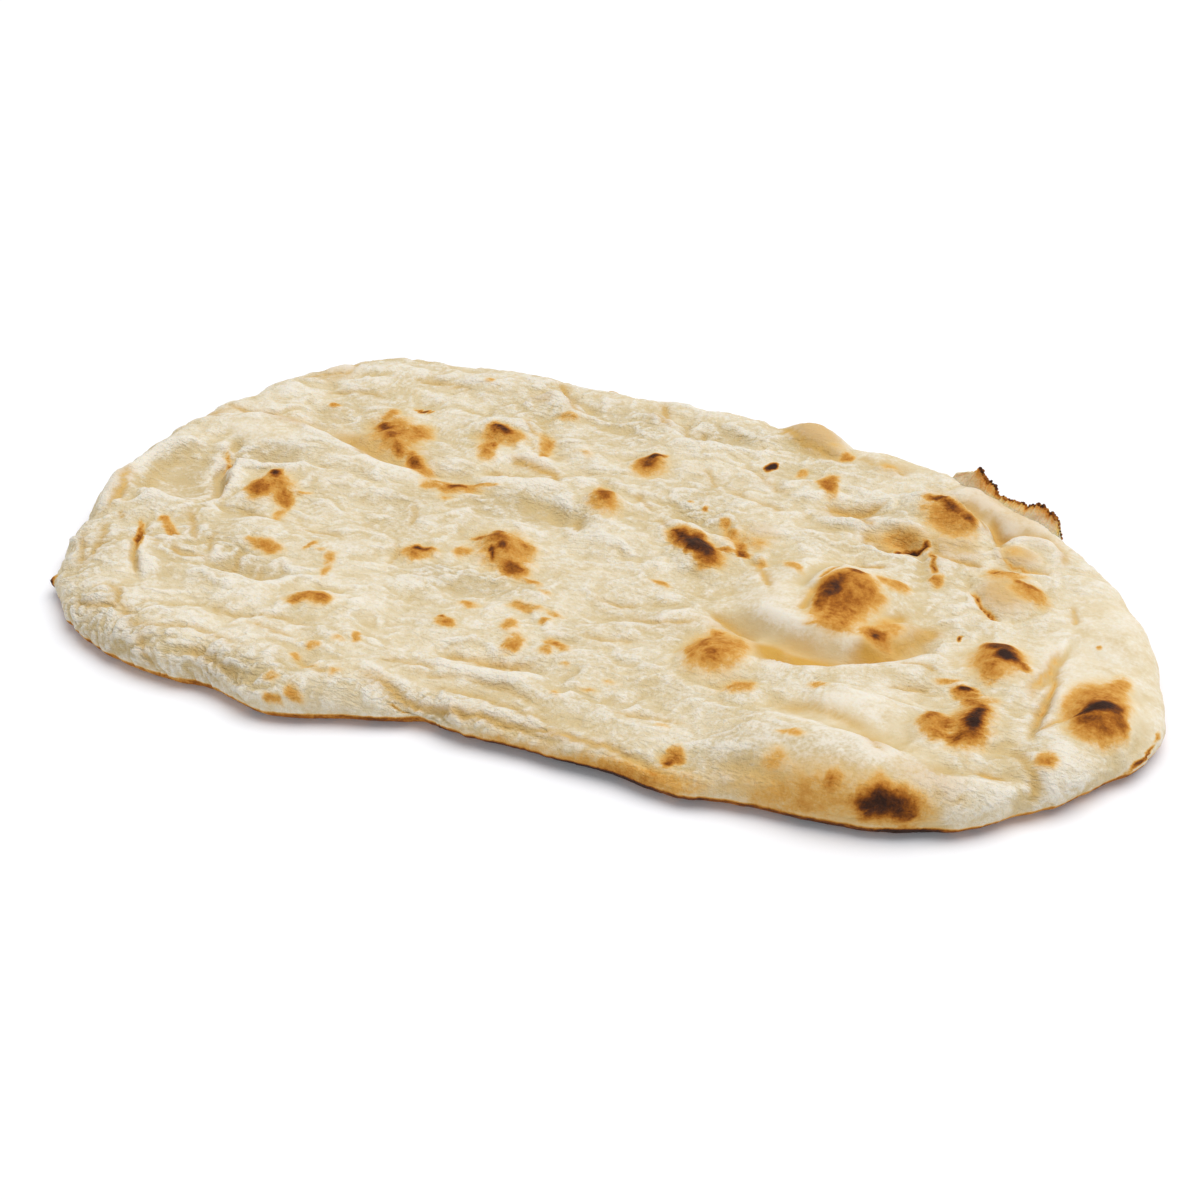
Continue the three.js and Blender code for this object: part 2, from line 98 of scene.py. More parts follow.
# Folds: height of the crest, depth of the groove on the left of the path, width of the slope on
# the right, width of the slope on the left, and the points that the crest runs through.
FOLDS = [
    (3.4, 2.0, 14, 4, [
        (-153, 33), (-137, 36), (-124, 37), (-112, 33), (-100, 28), (-89, 24), (-75, 23), (-62, 21),
    ]),
    (2.4, 1.4, 9, 4, [(-58, 29), (-44, 31), (-33, 35), (-26, 39), (-16, 41)]),
    (2.4, 1.6, 7, 3, [(-54, 89), (-47, 83), (-38, 77)]),
    (2.0, 1.4, 7, 4, [(-58, 69), (-51, 60), (-44, 50), (-38, 45)]),
    (1.8, 1.4, 7, 4, [(-20, 90), (-12, 83), (-7, 76), (4, 73), (20, 76)]),
    (1.8, 1.0, 6, 2.2, [
        (92, 12), (91, 20), (89.5, 27), (87, 34), (83, 38.5), (77, 42), (70, 43.5), (62, 41), (50, 45),
    ]),
    (1.0, 1.2, 9, 1.8, [(64, 31), (70, 30), (76, 28), (82, 27.5), (87, 26)]),
    (4.5, 2.4, 13, 2.8, [(72, 61), (79, 60), (85, 60.5), (93, 55), (99, 50), (104, 43)]),
    (0.8, 0.4, 7, 2.0, [(101, 19), (104, 11), (109, 4.5), (115, 3)]),
    (1.2, 0.8, 8, 1.2, [(133.5, 2), (132.5, -8), (131, -18), (129.5, -29)]),
    (1.6, 0.9, 9, 1.2, [(135.5, -51), (135.5, -42), (136, -33), (136.5, -24)]),
    (2.2, 3.4, 7, 4.6, [(92, -2), (88, -13), (82, -20), (69, -20.5), (57, -18), (47, -14), (37, -11)]),
    (1.4, 0.8, 8, 2.0, [
        (50, -28), (57, -36.5), (67, -39.5), (76, -37.5), (84, -31), (91, -24), (98, -18),
    ]),
    (2.6, 1.2, 10, 5, [(58, -64), (76, -68), (90, -70), (106, -75)]),
    (2.2, 1.6, 8, 3, [(114, -78), (125, -74), (136, -71)]),
    (3.0, 2.8, 13, 2, [
        (-127, -17), (-126, -6), (-130, 3), (-132, 7), (-126, 9), (-116, 10), (-106, 14),
    ]),
    (1.6, 1.8, 8, 2, [(-141, 22), (-137, 14), (-133.5, 7)]),
    (3.2, 0.0, 7, 2.4, [
        (-146, 21), (-153, 13), (-158, 0), (-157, -12), (-148, -18), (-138, -20), (-129, -19),
    ]),
    (1.6, 0.6, 9, 1.2, [(-124, -61), (-129, -55), (-133, -48), (-136.5, -40), (-138.5, -31)]),
    (1.8, 1.8, 6, 4, [(-161, -4), (-158, -16), (-155, -30)]),
    (1.8, 1.4, 8, 4, [(-116, -48), (-104, -52), (-93, -52), (-84, -45)]),
    (1.8, 1.4, 8, 4, [(-36, -66), (-22, -68), (-8, -67), (4, -65)]),
    (2.2, 1.4, 7, 3, [(5, 28), (13, 24), (20, 21), (28, 18), (33, 13)]),
    (2.0, 1.4, 5, 3, [(60, -3), (63, 6), (67, 14)]),
    (1.6, 1.4, 6, 4, [(-48, -80), (-30, -81), (-10, -83), (8, -84), (24, -87), (42, -92)]),
    (1.8, 1.2, 4, 2, [(105, 43), (108, 47.5), (114, 49.5), (120, 48), (124, 43.5), (126.5, 38)]),
    (2.2, 0.2, 12, 5, [(84, 78), (92, 71), (99, 62), (107, 58), (116, 57), (124, 50)]),
]

CREST_ROUND = 1.6        # 1 is a ridge, 2 a rounded crest
GROOVE_OFF = 1.5         # a fold's groove lies this many slope widths from its crest
FOLD_REACH = 3.0         # and the fold ends this many slope widths from it
TAPER_FROM = -0.08       # folds and creases fade in between these shares of their length
TAPER_TO = 0.22

# Pillows and blisters, and hollows where the height is negative: x, y, half length, half width,
# turn in degrees, height, and how softly the side runs out (1 is a crisp foot, 2 a soft one).
PILLOWS = [
    (64, -1, 28, 22, 0, 4.4, 1.3), (46, 18, 24, 19, -25, 2.6, 1.5), (79, 9, 15, 17, 10, 2, 1.5),
    (44, -42, 12, 12, 0, 3.4, 1.1), (56, -56, 9, 6, -15, 1.6, 1.5), (35, 90, 16, 8, -30, 4.6, 1.0),
    (112, 39.5, 8, 5.8, -12, 2.4, 0.8), (113, 18, 11.5, 13, -15, 3.2, 0.9),
    (150, -34, 10, 17, 0, 3, 1.4), (118, -16, 9, 13, 15, 2.6, 1.4), (120, -53, 8, 14, 5, 2.8, 1.3),
    (109, -57, 7, 9, 0, 1.6, 1.4), (87, -53, 15, 15, 0, 2.6, 1.6), (86, -80, 36, 15, 0, 4.2, 1.8),
    (141, -59, 13, 12, 40, 2.6, 1.4), (20, 10, 11, 8, -40, 2.4, 1.3), (-133, 28, 18, 8, 0, 1.6, 1.6),
    (-100, 14, 24, 14, 0, 1.8, 1.8), (-114, -4, 9, 12, 0, 1.8, 1.5), (-94, 40, 12, 9, -40, 1.6, 1.5),
    (-35, -6, 13, 8, -45, 2, 1.5), (-14, 28, 9, 12, 0, 1.8, 1.5), (-62, 60, 10, 8, 0, 1.8, 1.4),
    (-10, 57, 8, 10, 0, 1.6, 1.4), (-8, 14, 15, 13, 0, 2, 1.6), (-74, -56, 12, 9, 20, 1.6, 1.5),
    (-104, -24, 16, 12, 0, 1.6, 1.6), (-70, 86, 26, 13, 0, 2, 1.8), (-112, 78, 20, 14, 30, 2, 1.8),
    (-142, 0, 14, 18, 10, -4.0, 0.6), (-122, 16, 14, 8, 10, -3.2, 1.0), (-32, 18, 20, 9, 0, -2.2, 1.8),
    (-36, -27, 16, 10, 0, -2, 1.8), (-14, -62, 18, 6, 0, -1.6, 1.8), (-108, 46, 22, 8, 0, -1.8, 1.8),
    (58, 50, 14, 9, 0, -2.4, 1.8), (75, 34.5, 10, 5, 0, -1.8, 1.0), (104, -38, 14, 8, 0, -1.6, 1.8),
    (-99, -44, 16, 8, 0, -2, 1.3), (8, -22, 22, 12, 10, -1.4, 1.8), (69, 0, 11, 14, -20, 1.8, 1.3),
    (-159, -61, 2.5, 2.5, 0, 1.6, 1), (-131, 94, 2.5, 2.5, 0, 1.4, 1), (-38, 103, 3, 2.5, 0, 1.2, 1),
]

SWELL = 0.9              # how far the dough rises and falls between its folds
SWELL_LONG = 11.0        # sets how far apart those swells lie along X
SWELL_CROSS = 9.0        # sets how far apart they lie along Y
SWELL_BEND = (1.6, 1.3)  # how far each of the two waves bends the other
SWELL_SHIFT = 2.0        # keeps their bends out of step

# Wrinkles over the whole sheet: distance between lumps, height, how sharp (above 0 the dips are
# sharp, below 0 the crests are), the seed, and how much higher they are where the skin is rumpled.
WRINKLES = [
    (19.0, 1.5, -0.4, 11, 0.3), (9.5, 0.75, 0.55, 12, 0.6), (4.8, 0.36, 0.8, 13, 1.8),
    (2.6, 0.12, 0.8, 14, 2.4),
]
WRINKLE_SLANT = 0.55     # how much shorter a wrinkle is from front to back than along X
WRINKLE_STRAY = 4.0      # how far the wrinkles are bent out of line
RIDGE_GAIN = 1.8         # height of a sharp wrinkle beside a round one
RIDGE_ROUND = 0.004      # how far its sharp line is rounded off
RIDGE_MIDDLE = 0.55      # its mean height

# Where the skin is rumpled more than elsewhere: x, y, half length, half width, turn, how much.
RUMPLED = [
    (-122, -82, 26, 11, -15, 1.2), (-88, -90, 26, 8, 0, 1.0), (-20, -84, 34, 6, 0, 0.8),
    (-56, 74, 16, 22, 0, 0.5), (-148, -50, 9, 22, 20, 0.6), (-118, -38, 18, 12, 0, 0.5),
    (0, 80, 34, 12, 0, 0.5), (16, 36, 12, 14, 0, 0.6), (-40, -24, 16, 8, 0, 0.6),
]
MARK_DOME = 0.14         # height of the blister under a scorch mark, as a share of its width
MARK_REACH = 1.4         # how far it reaches past the mark
MARK_SOFT = 1.3          # how softly its side runs out

# Where the skin is taut and smooth: x, y, half length, half width, turn, how smooth.
TAUT = [
    (64, -10, 34, 30, 0, 0.75), (43, -40, 14, 14, 0, 0.5), (152, 0, 26, 50, 0, 0.75),
    (36, 90, 17, 9, -30, 0.5), (114, 40, 12, 11, 0, 0.35), (104, 61, 22, 9, -38, 0.8),
    (113, 18, 12, 17, 0, 0.35), (88, -62, 26, 16, -10, 0.6), (118, -16, 14, 14, 0, 0.5),
    (86, -80, 24, 10, 0, 0.5), (-133, 28, 16, 6, 0, 0.5), (-142, -2, 12, 14, 0, 0.4),
    (60, 88, 24, 10, 0, 0.6),
]

# Creases, narrow dents in the skin: depth, half width, how golden, how baked, and their points. Their
# golden and baked lines are partly browning and partly painted shade in the dent.
CREASES = [
    (2.2, 1.6, 0.4, 0.5, [(-138, 18), (-136, 13), (-132, 7), (-129, 4)]),
    (1.8, 1.3, 0.57, 0.2, [(-129, 1), (-127, -6), (-127, -13)]),
    (1.8, 1.4, 0.81, 0.23, [(-160, -4), (-157, -12), (-155, -20), (-154, -28)]),
    (0.8, 1.0, 0.52, 0.23, [(-151, -29), (-148, -32)]),
    (1.2, 0.9, 0.7, 0.2, [(-139, -31), (-138.5, -38), (-136.5, -45), (-133, -52), (-128, -58)]),
    (1.0, 1.2, 0.43, 0.12, [(-152, -35), (-149, -42), (-147, -50), (-145, -56)]),
    (0.8, 1.2, 0.39, 0.1, [(-156, -40), (-151, -50), (-146, -59)]),
    (0.8, 1.0, 0.58, 0.15, [(-131, -22), (-126, -28), (-121, -36)]),
    (0.8, 1.0, 0.55, 0.07, [(-127, -42), (-120, -44), (-113, -42)]),
    (0.7, 1.0, 0.3, 0.05, [(-138, -34), (-134, -40), (-128, -44)]),
    (0.7, 1.0, 0.3, 0.05, [(-118, -29), (-116, -36), (-115, -41)]),
    (0.7, 1.0, 0.34, 0.07, [(-107, -35), (-105, -42), (-102, -48)]),
    (0.6, 1.0, 0.3, 0.05, [(-98, -40), (-96, -45), (-93, -50)]),
    (0.8, 1.0, 0.3, 0.05, [(-118, -14), (-110, -17), (-100, -15)]),
    (0.7, 1.0, 0.3, 0.05, [(-96, -18), (-88, -16), (-80, -18)]),
    (0.9, 1.2, 0.68, 0.15, [(-156, 48), (-149, 45), (-141, 42)]),
    (0.8, 1.2, 0.59, 0.1, [(-163, 33), (-156, 34), (-148, 34)]),
    (0.8, 1.2, 0.55, 0.07, [(-137, 70), (-130, 75), (-122, 80)]),
    (0.8, 1.2, 0.45, 0.07, [(-131, 95), (-124, 85), (-123, 78)]),
    (0.7, 1.2, 0.4, 0.05, [(-102, 82), (-92, 83), (-80, 81)]),
    (0.7, 1.0, 0.3, 0.05, [(-126, 64), (-116, 67), (-104, 66)]),
    (0.7, 1.0, 0.3, 0.05, [(-69, 8), (-67, 3), (-66, -2)]),
    (0.7, 1.0, 0.3, 0.05, [(-66, -12), (-64, -19), (-63, -25)]),
    (1.2, 1.4, 0.45, 0.07, [(-140, -73), (-132, -76), (-124, -75), (-118, -80)]),
    (1.2, 1.2, 0.49, 0.1, [(-134, -66), (-128, -70), (-126, -76)]),
    (1.0, 1.2, 0.3, 0.05, [(-122, -80), (-112, -82), (-102, -79), (-92, -80), (-82, -84)]),
    (1.2, 1.4, 0.39, 0.1, [(-112, -84), (-110, -89), (-107, -93)]),
    (1.2, 1.4, 0.39, 0.1, [(-98, -86), (-92, -87), (-84, -90), (-78, -94)]),
    (0.9, 1.0, 0.3, 0.05, [(-100, -66), (-90, -68), (-80, -66), (-70, -67)]),
    (0.8, 1.0, 0.45, 0.07, [(-86, -71), (-78, -73), (-70, -74)]),
    (0.9, 1.2, 0.54, 0.12, [(-66, -81), (-60, -85), (-53, -86)]),
    (1.0, 1.2, 0.3, 0.05, [(-44, -72), (-36, -70), (-28, -71)]),
    (0.9, 1.2, 0.61, 0.11, [(-30, -62), (-22, -60), (-12, -59), (-4, -58.5)]),
    (0.8, 1.0, 0.3, 0.05, [(-34, -74), (-20, -72), (-6, -73), (6, -77)]),
    (0.8, 1.0, 0.3, 0.05, [(-28, -78), (-14, -77), (0, -79), (12, -81)]),
    (1.4, 1.3, 0.79, 0.21, [
        (-48, -82), (-38, -82), (-30, -84), (-20, -84), (-8, -84), (4, -85), (14, -87),
    ]),
    (1.2, 1.2, 0.4, 0.5, [(-36, -85), (-32, -87), (-28, -89)]),
    (1.2, 1.2, 0.75, 0.19, [(2, -83), (10, -84), (20, -85), (30, -86), (38, -89), (52, -92)]),
    (1.0, 1.2, 0.43, 0.12, [(60, -86), (70, -87), (80, -90)]),
    (0.8, 1.2, 0.3, 0.05, [(24, -74), (34, -72), (46, -73)]),
    (1.4, 1.4, 0.85, 0.19, [(-53, 46), (-47, 44.5), (-41, 43.5), (-37, 42), (-34, 39), (-32.5, 35.5)]),
    (1.0, 1.2, 0.59, 0.1, [(-56, 37), (-48, 35), (-40, 33)]),
    (0.9, 1.1, 0.58, 0.15, [(-56, 70), (-53, 64), (-49, 60)]),
    (1.0, 1.3, 0.75, 0.19, [(-49, 66), (-46, 60), (-44, 54), (-43, 49)]),
    (0.8, 1.0, 0.2, 0.05, [(-50, 58), (-47, 53), (-44, 50)]),
    (1.6, 1.5, 0.82, 0.17, [(-54, 98), (-52, 93), (-49, 88)]),
    (1.4, 1.3, 0.62, 0.17, [(-49, 90), (-47, 86), (-44, 81), (-39, 80)]),
    (1.2, 1.3, 0.67, 0.2, [(-20, 90), (-17, 86.5), (-13, 83), (-10, 79)]),
    (1.0, 1.2, 0.64, 0.12, [(-19, 97), (-15, 90), (-12, 84)]),
    (0.9, 1.2, 0.2, 0.05, [(-8, 86), (-4, 79), (-4, 73)]),
    (0.9, 1.2, 0.2, 0.05, [(0, 84), (1, 79), (0, 74)]),
    (0.9, 1.0, 0.43, 0.12, [(-7, 39), (-3, 33), (1, 30)]),
    (0.8, 1.2, 0.34, 0.07, [(8, 59), (12, 55), (15, 50)]),
    (0.8, 1.2, 0.34, 0.07, [(24, 63), (30, 58), (36, 54)]),
    (0.8, 1.2, 0.3, 0.05, [(18, 52), (24, 48), (32, 46), (40, 44)]),
    (1.0, 1.2, 0.3, 0.05, [(4, 27), (8, 22), (11, 19)]),
    (1.0, 1.3, 0.34, 0.12, [(-20, 20), (-18, 14), (-17, 11)]),
    (1.6, 1.4, 1, 0.2, [(22, 95), (27, 88.5), (33, 84.5), (39, 82), (45, 80.5)]),
    (0.8, 1.2, 0.68, 0.15, [(58, 81), (64, 79), (69, 75)]),
    (0.8, 1.0, 0.39, 0.1, [(52, 83), (58, 79)]),
    (1.6, 1.6, 0.95, 0.19, [(50, 51.5), (57, 51.5), (62, 53), (67, 55.5)]),
    (1.4, 1.4, 0.85, 0.19, [(62, 47), (64, 43), (68, 42)]),
    (1.2, 1.4, 0.92, 0.23, [(23, 32), (26, 26), (31, 20), (36, 12)]),
    (1.0, 1.2, 0.78, 0.15, [(38, 12), (42, 7), (46, 1), (49, -4)]),
    (1.6, 1.3, 0.5, 0.62, [(61, 0), (63, 6), (66, 13)]),
    (1.2, 1.4, 0.98, 0.15, [(61, -1), (61, -7), (60, -14)]),
    (0.8, 1.2, 0.88, 0.15, [(68, 20), (72, 19), (77, 20)]),
    (1.0, 3.0, 1, 0.07, [
        (48, -26), (54, -32), (60, -35), (67, -33.5), (75, -32), (82, -27), (87, -21), (92, -13),
        (98, -6),
    ]),
    (1.2, 2.2, 1, 0.17, [(83.5, -18), (84, -12), (86, -7), (89, -2)]),
    (0.8, 1.2, 0.83, 0.12, [(85, -19), (88, -22), (92, -25)]),
    (1.4, 1.6, 0.85, 0.07, [(34, -17), (39, -19), (45, -22), (51, -26.5)]),
    (1.6, 1.5, 0.5, 1.0, [(77.3, 37), (79.8, 34.6), (82.5, 34.8), (85, 36.2), (86.8, 34.5)]),
    (1.4, 1.8, 0.5, 0.72, [(86.4, 36), (88, 31.5), (89.5, 26), (91.4, 19)]),
    (1.4, 2.4, 0.85, 0.07, [(64, 37), (70, 37), (76, 38), (82, 36)]),
    (1.5, 1.8, 0.79, 0.1, [(86, 40), (89, 34), (92, 31), (98, 31), (104, 32)]),
    (1.5, 1.3, 0.95, 0.19, [(85, 64), (91, 59), (97, 52), (102, 46)]),
    (1.6, 1.5, 0.85, 0.19, [(103, 51), (105, 46), (106, 42)]),
    (1.3, 1.8, 0.9, 0.12, [
        (99, 60), (101, 56), (103.5, 51.5), (107, 50.5), (112, 51.5), (118, 51.5), (122, 49),
    ]),
    (1.0, 1.1, 0.64, 0.12, [(120, 50), (124, 45), (126, 39)]),
    (1.0, 1.3, 0.8, 0.4, [(106, 38), (110, 35.6), (115, 34.4), (120, 34), (123, 35.5)]),
    (1.0, 1.2, 0.67, 0.2, [(106, 28), (108, 31.5), (112, 31.5)]),
    (1.5, 1.6, 0.5, 0.8, [(102.5, 19), (105, 14), (107.8, 10), (110.5, 7), (114.5, 5.5)]),
    (0.9, 1.0, 0.59, 0.21, [(132, 20), (133.5, 15), (134.5, 10)]),
    (1.4, 1.4, 0.9, 0.34, [(133.5, -13), (134.5, -22), (134.5, -29), (134, -38), (134.5, -49)]),
    (1.3, 1.5, 0.8, 0.28, [(132.5, -3), (132.8, -9), (131.5, -18), (129.8, -27), (130.5, -31)]),
    (0.9, 1.0, 0.9, 0.2, [(135, -48), (137, -43.5), (139.5, -40), (144, -37.5)]),
    (1.2, 1.3, 0.51, 0.11, [(131, -55), (134, -61), (138, -66), (140, -71)]),
    (0.9, 1.0, 0.89, 0.21, [(123, -70), (127, -69), (131, -68)]),
    (1.0, 1.3, 0.41, 0.11, [(121, -79), (122, -82)]),
    (0.9, 1.0, 0.54, 0.12, [(92, -28), (98, -26), (104, -28)]),
    (0.9, 1.2, 0.45, 0.07, [(93, -40), (99, -36), (105, -37)]),
    (1.0, 1.5, 0.55, 0.07, [(92, -63), (95, -70), (100, -77)]),
    (0.8, 2.2, 0.4, 0.05, [(66, -58), (76, -57), (86, -60), (92, -62)]),
    (1.0, 1.5, 0.4, 0.05, [(12, -25), (20, -28), (28, -26), (34, -21)]),
    (0.8, 1.2, 0.3, 0.05, [(0, -20), (8, -21), (14, -19)]),
    (0.8, 1.2, 0.3, 0.05, [(4, -42), (12, -41), (20, -39)]),
]
CREASE_SHARP = 1.4       # 1 is a knife cut, 2 a rounded dent
CREASE_REACH = 4.0       # a crease ends this many half widths from its path
CREASE_WANDER = 0.7      # how far it strays from that path
BAKED_NARROWER = 3       # above 1 the baked line in a crease is narrower than its dent
PATCH_FULL = 0.4         # a soft patch is at full strength this far out from its middle
PATCH_END = 1.35         # and gone this far out, where 1 is its ellipse

# ------------------------------------------------------------------ what the oven did

